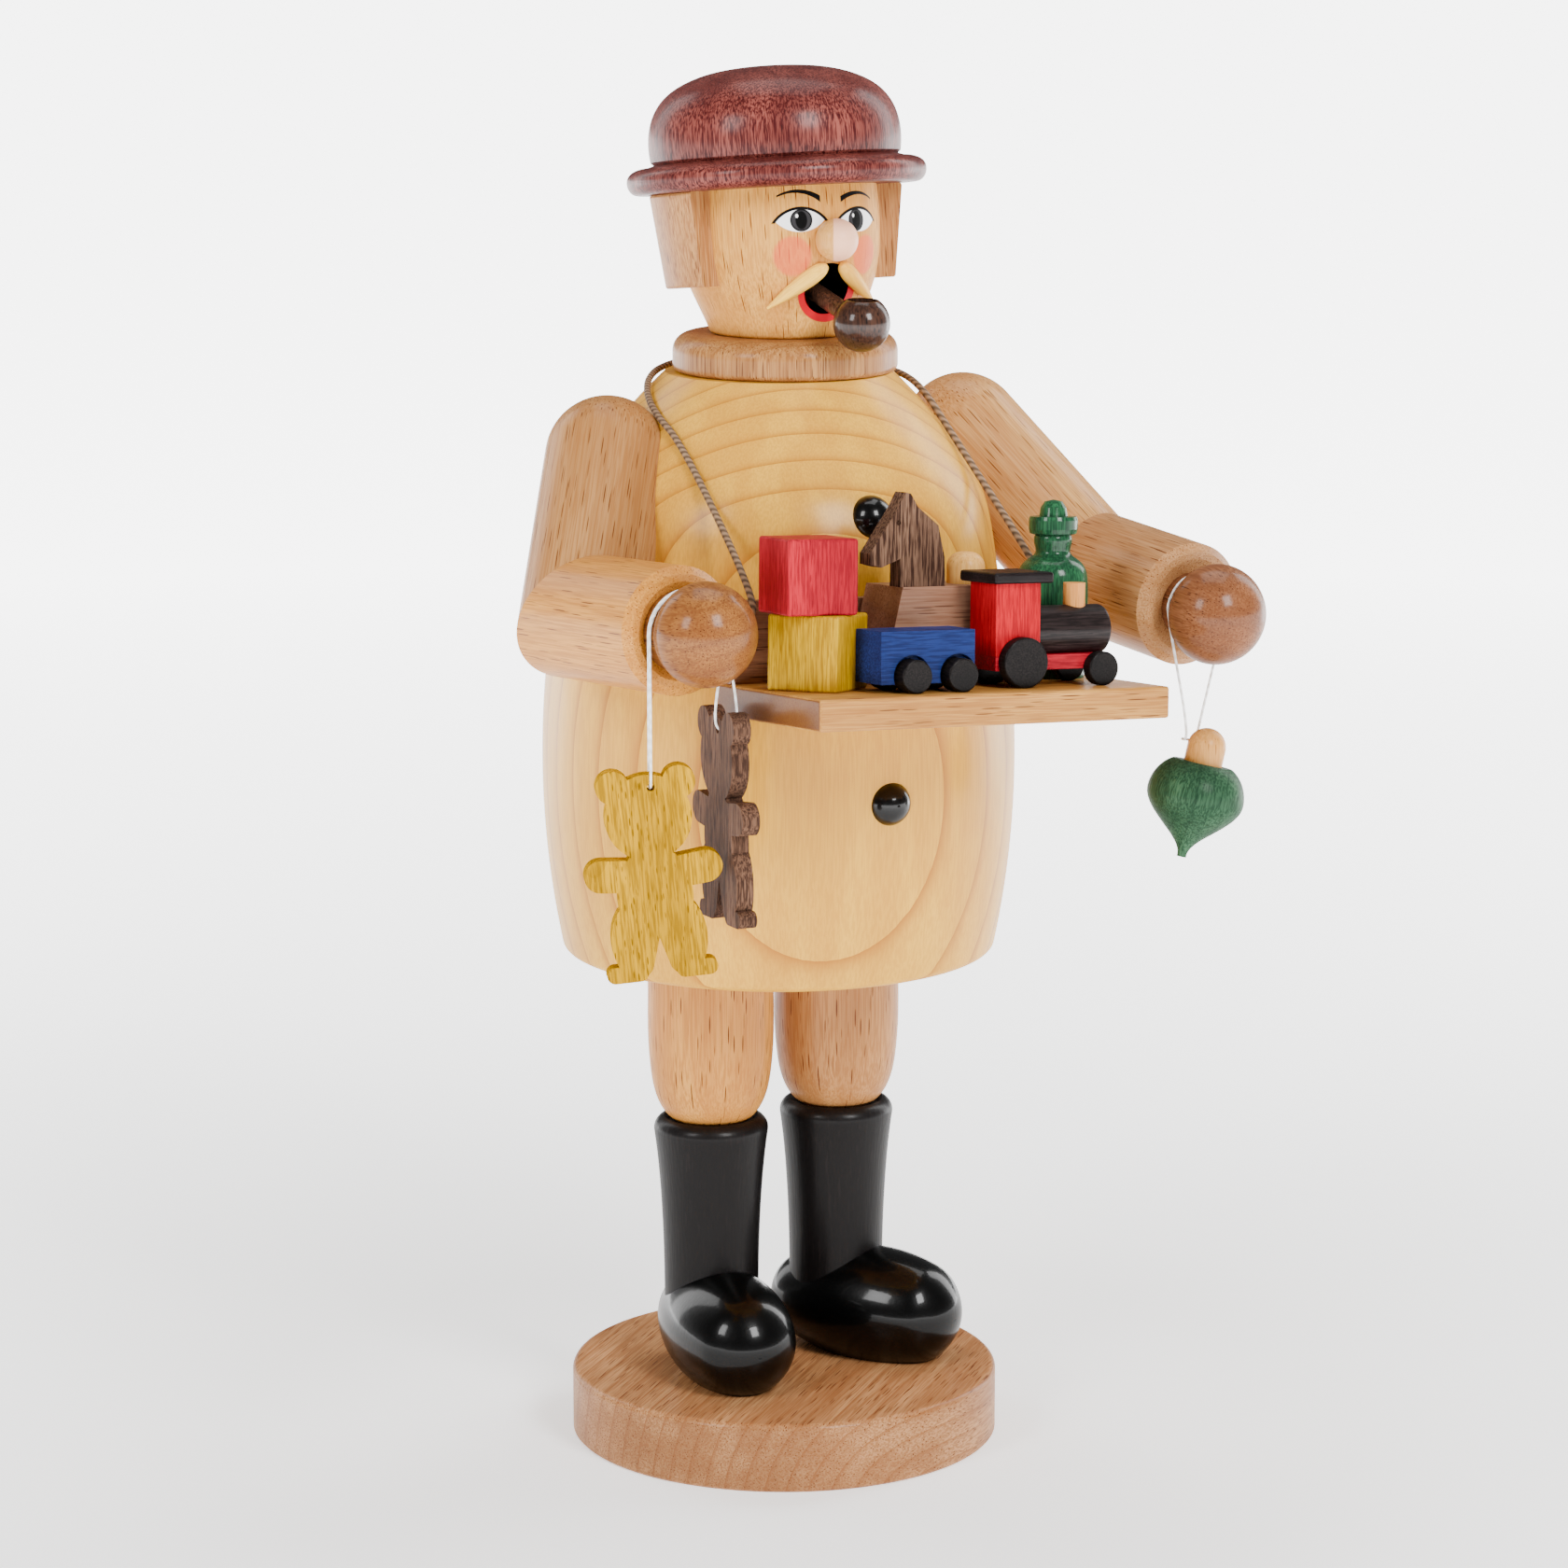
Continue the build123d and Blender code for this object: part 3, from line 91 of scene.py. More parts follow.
# Patterns of the woods: sizes in millimetres across and along the grain, and the values of a
# texture between which a mark sets in. WAVE is the length of one wave at scale 1
WAVE = 0.3142
TONE_SIZE = (6, 60)
TONE_FADE = (0.35, 0.65)
FIBRE_FADE = (0.38, 0.62)
FIBRE_WAVER = {"Detail": 2.0, "Roughness": 0.6}
RING_EDGE = 8.0
RING_WAVER = {"Distortion": 2.4, "Detail": 1.5, "Detail Scale": 0.06, "Detail Roughness": 0.5}
DASH_FADE = (0.27, 0.17)
END_FADE = (0.8, 0.96)
PORE_DEPTH = 0.3

# Enamel, yarn, pressed metal and the studio's paper: sizes in millimetres
BRUSHED_SIZE = (0.5, 6)
SCUFF_FADE = (0.55, 0.75)
SCUFF_SHARE = 0.3
ENAMEL_SHINE = 0.1
YARN_TURN = 0.9
YARN_DEPTH = 0.2
YARN_RELIEF = 0.5
YARN_ROUGHNESS = 0.85
ASH_SCALE = 0.4
DISH_ROUGHNESS = 0.38
PAPER_ROUGHNESS = 0.9


def camera():
    """Camera at the photograph's place and angle."""
    lens = bpy.data.cameras.new("camera")
    lens.lens = CAMERA_LENS
    lens.sensor_width = CAMERA_FILM
    lens.clip_end = CAMERA_REACH
    eye = bpy.data.objects.new("camera", lens)
    eye.location = Vector(CAMERA_PLACE) * MM
    eye.rotation_euler = (radians(90 - CAMERA_DIP), 0, radians(CAMERA_TURN))
    bpy.context.collection.objects.link(eye)
    bpy.context.scene.camera = eye


def strand(name, route, diameter, node, body):
    """A thread or cord: a smooth tube along its route, in place of its CAD tube."""
    curve = bpy.data.curves.new(name, "CURVE")
    curve.dimensions = "3D"
    curve.bevel_depth = diameter / 2
    curve.bevel_resolution = STRAND_SIDES
    curve.use_fill_caps = True
    line = curve.splines.new("NURBS")
    line.points.add(len(route) - 1)
    for point, place in zip(line.points, route):
        point.co = (*[value * MM for value in place], 1)
        point.radius = MM
    line.order_u = STRAND_ORDER
    line.use_endpoint_u = True
    line.resolution_u = STRAND_STEPS
    made = bpy.data.objects.new(name, curve)
    bpy.context.collection.objects.link(made)
    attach(made, body)
    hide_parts(node)
    return made


def threads():
    """Neck cord and the threads that the toys hang from."""
    neck = [(-27.819, -35.689, 152.249), (-27.819, -39.657, 152.561), (-27.575, -39.296, 157.141),
            (-25.831, -11.734, 178.266), (-26.068, -1.664, 182.738), (-22.819, 7.689, 185.792),
            (-17.085, 15.348, 187.622), (-9.551, 20.746, 188.233), (-0.738, 23.134, 188.131),
            (8.471, 21.957, 187.622), (16.163, 17.072, 187.215), (20.994, 9.229, 187.113),
            (22.499, 1.214, 186.808), (21.913, -5.976, 185.995), (22.175, -10.803, 183.553),
            (23.636, -13.349, 179.678), (29.145, -39.533, 154.138), (28.901, -39.893, 149.558),
            (28.901, -35.925, 149.246)]
    yellow = [(-51.915, -49.699, 153.692), (-51.915, -49.699, 150.692), (-52.623, -51.128, 133.888),
              (-52.623, -51.128, 129.092), (-51.207, -47.709, 129.092), (-51.207, -47.709, 133.888),
              (-51.915, -49.139, 150.692), (-51.915, -49.139, 153.692)]
    brown = [(-38.075, -49.139, 153.692), (-38.075, -49.139, 150.692), (-39.912, -49.193, 141.888),
             (-39.912, -49.193, 137.092), (-36.239, -49.644, 137.092), (-36.239, -49.644, 141.888),
             (-38.075, -49.699, 150.692), (-38.075, -49.699, 153.692)]
    top = [(53.626, -47.599, 126.629), (57.485, -49.419, 145.874), (58.075, -49.419, 148.815),
           (58.46, -49.419, 150.89), (56.41, -49.419, 154.59), (52.46, -49.419, 156.11),
           (48.45, -49.419, 154.73), (46.27, -49.419, 151.1),
           (46.624, -49.419, 149.025), (47.106, -49.419, 146.064), (50.122, -51.219, 127.535),
           (50.122, -47.599, 127.535), (52.852, -47.599, 126.829)]
    return [strand("cord_neck", neck, CORD_DIAMETER, "neck_cord", "upper_figure"),
            strand("thread_yellow_bear", yellow, THREAD_DIAMETER, "yellow_bear_thread", "yellow_thread"),
            strand("thread_brown_bear", brown, THREAD_DIAMETER, "brown_bear_thread", "brown_thread"),
            strand("thread_spinning_top", top, THREAD_DIAMETER, "top_thread", "hanging_top")]


def linear(colour):
    """Linear colour of an sRGB hex value."""
    parts = [int(colour[start:start + 2], 16) / 255 for start in (1, 3, 5)]
    return (*[part / 12.92 if part <= 0.04045 else ((part + 0.055) / 1.055) ** 2.4 for part in parts], 1)


def add(material, kind, inputs=None, **settings):
    """Add a node with its settings and links."""
    made = material.node_tree.nodes.new(kind)
    for name, value in settings.items():
        setattr(made, name, value)
    for socket, value in (inputs or {}).items():
        if isinstance(value, bpy.types.NodeSocket):
            material.node_tree.links.new(value, made.inputs[socket])
        else:
            made.inputs[socket].default_value = value
    return made


def in_piece(material, middle=(0, 0, 0), turn=(0, 0, 0)):
    """Coordinates in millimetres from a place on the object, with the grain along Z."""
    spot = add(material, "ShaderNodeTexCoord").outputs["Object"]
    return add(material, "ShaderNodeMapping",
               {"Vector": spot, "Location": Vector(middle) * MM, "Rotation": turn, "Scale": (MM,) * 3},
               vector_type="TEXTURE").outputs["Vector"]


def grain_turn(along):
    """Rotation that lays Z along the grain."""
    return Vector((0, 0, 1)).rotation_difference(Vector(along)).to_euler()


def blank(name):
    """A new material and its shader."""
    made = bpy.data.materials.new(name)
    made.use_nodes = True
    return made, made.node_tree.nodes["Principled BSDF"]


def surface(material, shader, colour, height, relief, depth, constants):
    """Give the shader its colour, the relief that stands in the surface, and its constants."""
    material.node_tree.links.new(colour, shader.inputs["Base Color"])
    bump = add(material, "ShaderNodeBump",
               {"Height": height, "Strength": relief, "Distance": depth * MM})
    material.node_tree.links.new(bump.outputs[0], shader.inputs["Normal"])
    for socket, value in constants.items():
        shader.inputs[socket].default_value = value


def wood(name, pale, dark, fleck, along=(0, 0, 1), middle=(0, 0, 0), pith=(40, 25), ring_width=4.0,
         rings=0.25, streaks=0.35, flecks=0.5, ray=(0.42, 9.0), fibre=(0.3, 10.0), tones=0.35,
         ends=0.0, roughness=0.45, shine=0.06, gloss=0.25, gloss_roughness=0.2, relief=0.1, axis=None):
    """Wood: pale and dark growth rings about a pith, fine fibres, and short dark rays that show as
    dashes. Sawn ends, where the surface faces along the grain, go darker. The varnish is the shader's
    coat.
    Ring width, and rays and fibres across and along the grain, are in millimetres. Rings, streaks,
    flecks, tones and ends say how strongly each mark shows."""
    made, shader = blank(name)
    turn = grain_turn(along)
    spot = in_piece(made, middle, turn)

    # Fibres, long thin streaks along the grain
    fine = add(made, "ShaderNodeMapping",
               {"Vector": spot, "Scale": (1 / fibre[0], 1 / fibre[0], 1 / fibre[1])})
    fibres = add(made, "ShaderNodeTexNoise",
                 {"Vector": fine.outputs[0], "Scale": 1.0, **FIBRE_WAVER}).outputs["Fac"]
    streak = add(made, "ShaderNodeMapRange",
                 {"Value": fibres, "From Min": FIBRE_FADE[0], "From Max": FIBRE_FADE[1],
                  "To Max": streaks}, interpolation_type="SMOOTHSTEP").outputs[0]

    # Broad tones, from how the varnish soaks in
    broad = add(made, "ShaderNodeMapping",
                {"Vector": spot, "Scale": (1 / TONE_SIZE[0], 1 / TONE_SIZE[0], 1 / TONE_SIZE[1])})
    soaked = add(made, "ShaderNodeTexNoise", {"Vector": broad.outputs[0], "Scale": 1.0, "Detail": 1.0})
    tone = add(made, "ShaderNodeMapRange",
               {"Value": soaked.outputs["Fac"], "From Min": TONE_FADE[0], "From Max": TONE_FADE[1],
                "To Max": tones}, interpolation_type="SMOOTHSTEP").outputs[0]

    # Growth rings about the pith, each darkening to a sharp edge
    round_pith = add(made, "ShaderNodeMapping", {"Vector": spot, "Location": (pith[0], pith[1], 0)})
    ring = add(made, "ShaderNodeTexWave",
               {"Vector": round_pith.outputs[0], "Scale": WAVE / ring_width, **RING_WAVER},
               wave_type="RINGS", rings_direction="Z", wave_profile="SAW")
    late = add(made, "ShaderNodeMath", {0: ring.outputs["Fac"], 1: RING_EDGE},
               operation="POWER").outputs[0]
    late = add(made, "ShaderNodeMath", {0: late, 1: rings}, operation="MULTIPLY").outputs[0]

    # Rays, short dark dashes along the grain, some stronger than others. On a turned piece they
    # stand inwards to its axis, so the dashes stay long where its ends are rounded
    sheets = spot
    if axis:
        centred = add(made, "ShaderNodeMapping",
                      {"Vector": spot, "Location": (-axis[0], -axis[1], 0)})
        angle = add(made, "ShaderNodeTexGradient", {"Vector": centred.outputs[0]},
                    gradient_type="RADIAL").outputs["Fac"]
        girth = add(made, "ShaderNodeMath", {0: angle, 1: 2 * pi * axis[2]},
                    operation="MULTIPLY").outputs[0]
        height = add(made, "ShaderNodeSeparateXYZ", {0: spot}).outputs["Z"]
        sheets = add(made, "ShaderNodeCombineXYZ", {"X": girth, "Z": height}).outputs[0]
    dashes = add(made, "ShaderNodeMapping",
                 {"Vector": sheets, "Scale": (1 / ray[0], 1 / ray[0], 1 / ray[1])})
    cells = add(made, "ShaderNodeTexVoronoi", {"Vector": dashes.outputs[0], "Scale": 1.0})
    dash = add(made, "ShaderNodeMapRange",
               {"Value": cells.outputs["Distance"], "From Min": DASH_FADE[0],
                "From Max": DASH_FADE[1], "To Max": 2 * flecks},
               interpolation_type="SMOOTHSTEP").outputs[0]
    dash = add(made, "ShaderNodeMath", {0: dash, 1: cells.outputs["Color"]}, operation="MULTIPLY",
               use_clamp=True).outputs[0]

    # Ends of the grain, where the surface faces along it
    facing = add(made, "ShaderNodeTexCoord").outputs["Normal"]
    facing = add(made, "ShaderNodeMapping", {"Vector": facing, "Rotation": turn}, vector_type="TEXTURE")
    facing = add(made, "ShaderNodeSeparateXYZ", {0: facing.outputs[0]}).outputs["Z"]
    facing = add(made, "ShaderNodeMath", {0: facing}, operation="ABSOLUTE").outputs[0]
    cut = add(made, "ShaderNodeMapRange",
              {"Value": facing, "From Min": END_FADE[0], "From Max": END_FADE[1], "To Max": ends},
              interpolation_type="SMOOTHSTEP").outputs[0]

    colour = linear(pale)
    for share, over in ((tone, dark), (streak, dark), (late, dark), (dash, fleck), (cut, fleck)):
        colour = add(made, "ShaderNodeMix", {0: share, 6: colour, 7: linear(over)},
                     data_type="RGBA").outputs[2]
    surface(made, shader, colour, fibres, relief, PORE_DEPTH,
            {"Roughness": roughness, "Specular IOR Level": shine, "Coat Weight": gloss,
             "Coat Roughness": gloss_roughness})
    return made


def enamel(name, colour, worn, gloss, gloss_roughness, roughness=0.3, relief=0.06):
    """Black enamel brushed on wood: deep and even, with the grain faintly standing in it. The
    shader's coat is the enamel's skin, and the worn tone shows where the grain stands highest."""
    made, shader = blank(name)
    drawn = add(made, "ShaderNodeMapping",
                {"Vector": in_piece(made),
                 "Scale": (1 / BRUSHED_SIZE[0], 1 / BRUSHED_SIZE[0], 1 / BRUSHED_SIZE[1])})
    grain = add(made, "ShaderNodeTexNoise", {"Vector": drawn.outputs[0], "Scale": 1.0, "Detail": 2.0})
    scuff = add(made, "ShaderNodeMapRange",
                {"Value": grain.outputs["Fac"], "From Min": SCUFF_FADE[0],
                 "From Max": SCUFF_FADE[1], "To Max": SCUFF_SHARE},
                interpolation_type="SMOOTHSTEP").outputs[0]
    shade = add(made, "ShaderNodeMix", {0: scuff, 6: linear(colour), 7: linear(worn)},
                data_type="RGBA")
    surface(made, shader, shade.outputs[2], grain.outputs["Fac"], relief, PORE_DEPTH,
            {"Roughness": roughness, "Specular IOR Level": ENAMEL_SHINE, "Coat Weight": gloss,
             "Coat Roughness": gloss_roughness})
    return made


def spun(name, pale, dark):
    """Twisted yarn, matt: fine diagonal turns of lighter and darker fibre, with hollows between."""
    made, shader = blank(name)
    turns = add(made, "ShaderNodeTexWave",
                {"Vector": in_piece(made), "Scale": WAVE / YARN_TURN, "Distortion": 1.5, "Detail": 1.0},
                wave_type="BANDS", bands_direction="DIAGONAL")
    shade = add(made, "ShaderNodeMix", {0: turns.outputs["Fac"], 6: linear(pale), 7: linear(dark)},
                data_type="RGBA")
    surface(made, shader, shade.outputs[2], turns.outputs["Fac"], YARN_RELIEF, YARN_DEPTH,
            {"Roughness": YARN_ROUGHNESS})
    return made


# Painted face: places are across the face along its curve and up from the chin, in millimetres. An
# eye is its middle, half its width, half its height, and where its iris sits across the face. The
# soft edges are shares of each oval's radius
FACE_RADIUS = 16.9
FACE_FRONT = (0.5, 1.5)
EYES = {"right": (-5.27, 18.6, 4.25, 1.95, -5.15), "left": (6.24, 18.25, 4.7, 1.95, 5.65)}
IRIS_RADIUS = 1.9
IRIS_INSIDE = 0.86
PUPIL_SHARES = (0.52, 0.8)
PAINTED_GLINT_OFFSET = 0.75
PAINTED_GLINT_RADII = (0.24, 0.32)
LID_WIDTH = 0.33
LID_ENDS = (0.5, 0.2)
LINE_SOFT = 0.012
SOFT = {"lip": 0.02, "mouth": 0.01, "iris": 0.04, "inner": 0.05, "pupil": 0.1, "painted_glint": 0.2}
BROWS = {"right": ((-9.1, 22.75), (-5.65, 23.45), (-1.8, 22.1)),
         "left": ((10.3, 21.8), (5.95, 22.8), (2.3, 21.8))}
BROW_WIDTHS = (0.15, 0.45)
BROW_SOFT = 0.05
BROW_LOW_END = (-0.1, 0.1)
BROW_HIGH_END = (0.25, 0.05)
BROW_FLOOR = (20.8, 21.2)
# Nose: a point on the straight edge of its painted highlight, the turn of that edge, and its softness
NOSE_HIGHLIGHT_EDGE = (0.2, -16.6, 209.0)
NOSE_HIGHLIGHT_TURN = -29.0
NOSE_HIGHLIGHT_SOFT = 0.1
CHEEKS = {"right": (-6.9, 12.7, 3.3), "left": (8.3, 12.4, 3.3)}
CHEEK_SOFT = 0.12
CHEEK_SHARE = 0.62
MOUTH_HEIGHT = 7.0
MOUTH_RADIUS = 4.25
LIP_RADIUS = 5.6
LIP_SIDE = 0.3
LIP_TOP = (9.6, 9.3)


def oval(material, face, middle, radii, soft):
    """Mask of an oval painted on the face, with a soft edge."""
    placed = add(material, "ShaderNodeMapping",
                 {"Vector": face, "Location": (*middle, 0), "Scale": (*radii, 1)}, vector_type="TEXTURE")
    reach = add(material, "ShaderNodeVectorMath", {0: placed.outputs[0]}, operation="LENGTH")
    return add(material, "ShaderNodeMapRange",
               {"Value": reach.outputs["Value"], "From Min": 1 + soft, "From Max": 1 - soft},
               interpolation_type="SMOOTHSTEP").outputs[0]


def paint(material, under, colour, *masks):
    """One layer of paint over a colour, where all its masks meet. A mask is a socket, a number, or
    a value with the two places between which the paint sets in."""
    share = 1.0
    for limit in masks:
        if isinstance(limit, tuple):
            limit = add(material, "ShaderNodeMapRange",
                        {"Value": limit[0], "From Min": limit[1], "From Max": limit[2]},
                        interpolation_type="SMOOTHSTEP").outputs[0]
        share = add(material, "ShaderNodeMath", {0: share, 1: limit}, operation="MULTIPLY").outputs[0]
    return add(material, "ShaderNodeMix", {0: share, 6: under, 7: linear(colour)},
               data_type="RGBA").outputs[2]


def circle_through(start, middle, end):
    """Middle and radius of the circle through three points."""
    (ax, ay), (bx, by), (cx, cy) = start, middle, end
    d = 2 * (ax * (by - cy) + bx * (cy - ay) + cx * (ay - by))
    x = ((ax**2 + ay**2) * (by - cy) + (bx**2 + by**2) * (cy - ay) + (cx**2 + cy**2) * (ay - by)) / d
    y = ((ax**2 + ay**2) * (cx - bx) + (bx**2 + by**2) * (ax - cx) + (cx**2 + cy**2) * (bx - ax)) / d
    return (x, y), ((ax - x)**2 + (ay - y)**2) ** 0.5


def face_paint(material):
    """Eyes, brows, cheeks and mouth, painted by brush on the varnished head with sharp edges. The near
    black inside the mouth hole is painted shade, and the white glint on each iris is a painted
    highlight.
    """
    spot = in_piece(material, HEAD_MIDDLE, HEAD_LIE.to_euler())
    parts = add(material, "ShaderNodeSeparateXYZ", {0: spot}).outputs
    forward = add(material, "ShaderNodeMath", {0: parts["Y"], 1: -1.0},
                  operation="MULTIPLY").outputs[0]
    azimuth = add(material, "ShaderNodeMath", {0: parts["X"], 1: forward},
                  operation="ARCTAN2").outputs[0]
    across = add(material, "ShaderNodeMath", {0: azimuth, 1: FACE_RADIUS},
                 operation="MULTIPLY").outputs[0]
    face = add(material, "ShaderNodeCombineXYZ", {"X": across, "Y": parts["Z"]}).outputs[0]
    straight = add(material, "ShaderNodeCombineXYZ", {"X": parts["X"], "Y": parts["Z"]}).outputs[0]
    shader = material.node_tree.nodes["Principled BSDF"]
    colour = shader.inputs["Base Color"].links[0].from_socket
    in_front = (forward, *FACE_FRONT)

    # Cheeks, a thin salmon wash that lets the grain through
    for x, z, radius in CHEEKS.values():
        cheek = oval(material, face, (x, z), (radius,) * 2, CHEEK_SOFT)
        colour = paint(material, colour, "#dc4f34", cheek, CHEEK_SHARE)

    # Lip ring, and inside it the mouth hole painted near black as painted shade
    lip = oval(material, straight, (LIP_SIDE, MOUTH_HEIGHT), (LIP_RADIUS,) * 2, SOFT["lip"])
    colour = paint(material, colour, "#b8041a", lip, (parts["Z"], *LIP_TOP), in_front)
    mouth_shade = oval(material, straight, (0, MOUTH_HEIGHT), (MOUTH_RADIUS,) * 2, SOFT["mouth"])
    colour = paint(material, colour, "#0a0707", mouth_shade, in_front)

    # Eyes: the white between two arcs, a dark iris with a lighter inside, pupil, and a white glint that
    # is a painted highlight
    for side, (x, z, half_width, half_height, iris_x) in EYES.items():
        lid_radius = (half_width**2 + half_height**2) / (2 * half_height)
        rise = lid_radius - half_height
        under_lid = oval(material, face, (x, z - rise), (lid_radius,) * 2, LINE_SOFT)
        over_rim = oval(material, face, (x, z + rise), (lid_radius,) * 2, LINE_SOFT)
        colour = paint(material, colour, "#f4f3f4", under_lid, over_rim)
        iris = oval(material, face, (iris_x, z), (IRIS_RADIUS,) * 2, SOFT["iris"])
        colour = paint(material, colour, "#0c0c0d", iris, under_lid)
        inner = oval(material, face, (iris_x, z), (IRIS_RADIUS * IRIS_INSIDE,) * 2, SOFT["inner"])
        colour = paint(material, colour, "#2f2e30", inner, under_lid)
        pupil = oval(material, face, (iris_x, z), [IRIS_RADIUS * share for share in PUPIL_SHARES],
                     SOFT["pupil"])
        colour = paint(material, colour, "#070707", pupil, under_lid)
        # Painted highlight: a small white glint up and to the left on the iris
        painted_glint = oval(material, face, (iris_x - PAINTED_GLINT_OFFSET, z + PAINTED_GLINT_OFFSET), PAINTED_GLINT_RADII,
                     SOFT["painted_glint"])
        colour = paint(material, colour, "#fbfbfb", painted_glint)

        # Lid line, an arc that runs a little past the corners of the eye
        lid_outside = oval(material, face, (x, z - rise), (lid_radius + LID_WIDTH,) * 2, LINE_SOFT)
        lid_inside = oval(material, face, (x, z - rise), (lid_radius - LID_WIDTH / 2,) * 2,
                          LINE_SOFT)
        line = add(material, "ShaderNodeMath", {0: 1.0, 1: lid_inside},
                   operation="SUBTRACT").outputs[0]
        colour = paint(material, colour, "#0a0808", lid_outside, line,
                       (parts["Z"], z - LID_ENDS[0], z - LID_ENDS[1]), in_front)

        # Brow, an arc that thickens towards the nose
        tail, crest, root = BROWS[side]
        middle, radius = circle_through(tail, crest, root)
        placed = add(material, "ShaderNodeMapping", {"Vector": face, "Location": (*middle, 0)},
                     vector_type="TEXTURE")
        reach = add(material, "ShaderNodeVectorMath", {0: placed.outputs[0]}, operation="LENGTH")
        off_line = add(material, "ShaderNodeMath", {0: reach.outputs["Value"], 1: radius},
                       operation="SUBTRACT").outputs[0]
        off_line = add(material, "ShaderNodeMath", {0: off_line}, operation="ABSOLUTE").outputs[0]
        width = add(material, "ShaderNodeMapRange",
                    {"Value": across, "From Min": tail[0], "From Max": root[0],
                     "To Min": BROW_WIDTHS[0], "To Max": BROW_WIDTHS[1]}).outputs["Result"]
        inside = add(material, "ShaderNodeMath", {0: width, 1: off_line},
                     operation="SUBTRACT").outputs[0]
        low, high = sorted((tail[0], root[0]))
        colour = paint(material, colour, "#0c0a0a", (inside, -BROW_SOFT, BROW_SOFT),
                       (across, low + BROW_LOW_END[0], low + BROW_LOW_END[1]),
                       (across, high + BROW_HIGH_END[0], high + BROW_HIGH_END[1]),
                       (parts["Z"], *BROW_FLOOR), in_front)
    material.node_tree.links.new(colour, shader.inputs["Base Color"])


# Tones of the beech pieces, which differ with the log that each was cut from: pale wood, dark wood
# and rays
BEECH_TONES = {
    "base_disc": ("#c69262", "#935d35", "#5c3016"),
    "right_leg": ("#d59647", "#b27030", "#5c2d0e"),
    "left_leg": ("#c08951", "#9c6536", "#562a12"),
    "right_upper_arm": ("#b5844f", "#95602f", "#5a2f12"),
    "left_upper_arm": ("#ca995d", "#aa713d", "#68391a"),
    "right_forearm": ("#d0903f", "#ab6a26", "#66340e"),
    "left_forearm": ("#b68658", "#936136", "#5c3117"),
    "right_hand": ("#94602f", "#68391a", "#3e1e0b"),
    "left_hand": ("#8a5838", "#62371e", "#3b1c0d"),
    "collar": ("#b28049", "#85542a", "#583014"),
    "head": ("#d69c4a", "#b57632", "#642f10"),
    "hair_wreath": ("#b9854e", "#8c562d", "#573014"),
    "nose": ("#dba45c", "#c48a42", "#a8602f"),
    "tray_board": ("#c38e47", "#986028", "#5c3114"),
    "tray_back_board": ("#a07356", "#78533e", "#4c3022"),
    "horse_base": ("#a47c62", "#7a523d", "#523324"),
    "horse_peg": ("#f6be6a", "#e09c4c", "#ae6628"),
    "loco_chimney": ("#d6944d", "#bc7735", "#824518"),
    "top_knob": ("#daa25a", "#c38541", "#874d22"),
    "hidden": ("#c58f58", "#a56b3a", "#70401d"),
}


def beech(piece, along=(0, 0, 1), tone=None, **changes):
    """Steamed beech, turned or sawn, sanded and satin varnished: pinkish tan with many short dark rays
    along the grain, and a soft sheen."""
    finish = dict(flecks=0.9, streaks=0.7, tones=0.5, rings=0.4, gloss=0.18, gloss_roughness=0.2)
    finish.update(changes)
    return wood("beech_" + piece, *BEECH_TONES[tone or piece], along=along, **finish)


def stained(name, pale, dark, along=(0, 0, 1), **changes):
    """Small toy dipped in water stain and thinly varnished: the colour is deep and nearly matt, and the
    grain shows darker through it."""
    finish = dict(fleck=dark, streaks=0.7, flecks=0.4, rings=0.2, tones=0.5, fibre=(0.3, 5.0),
                  ray=(0.5, 3.0), roughness=0.5, shine=0.03, gloss=0.06, gloss_roughness=0.25)
    finish.update(changes)
    return wood(name, pale, dark, along=along, **finish)


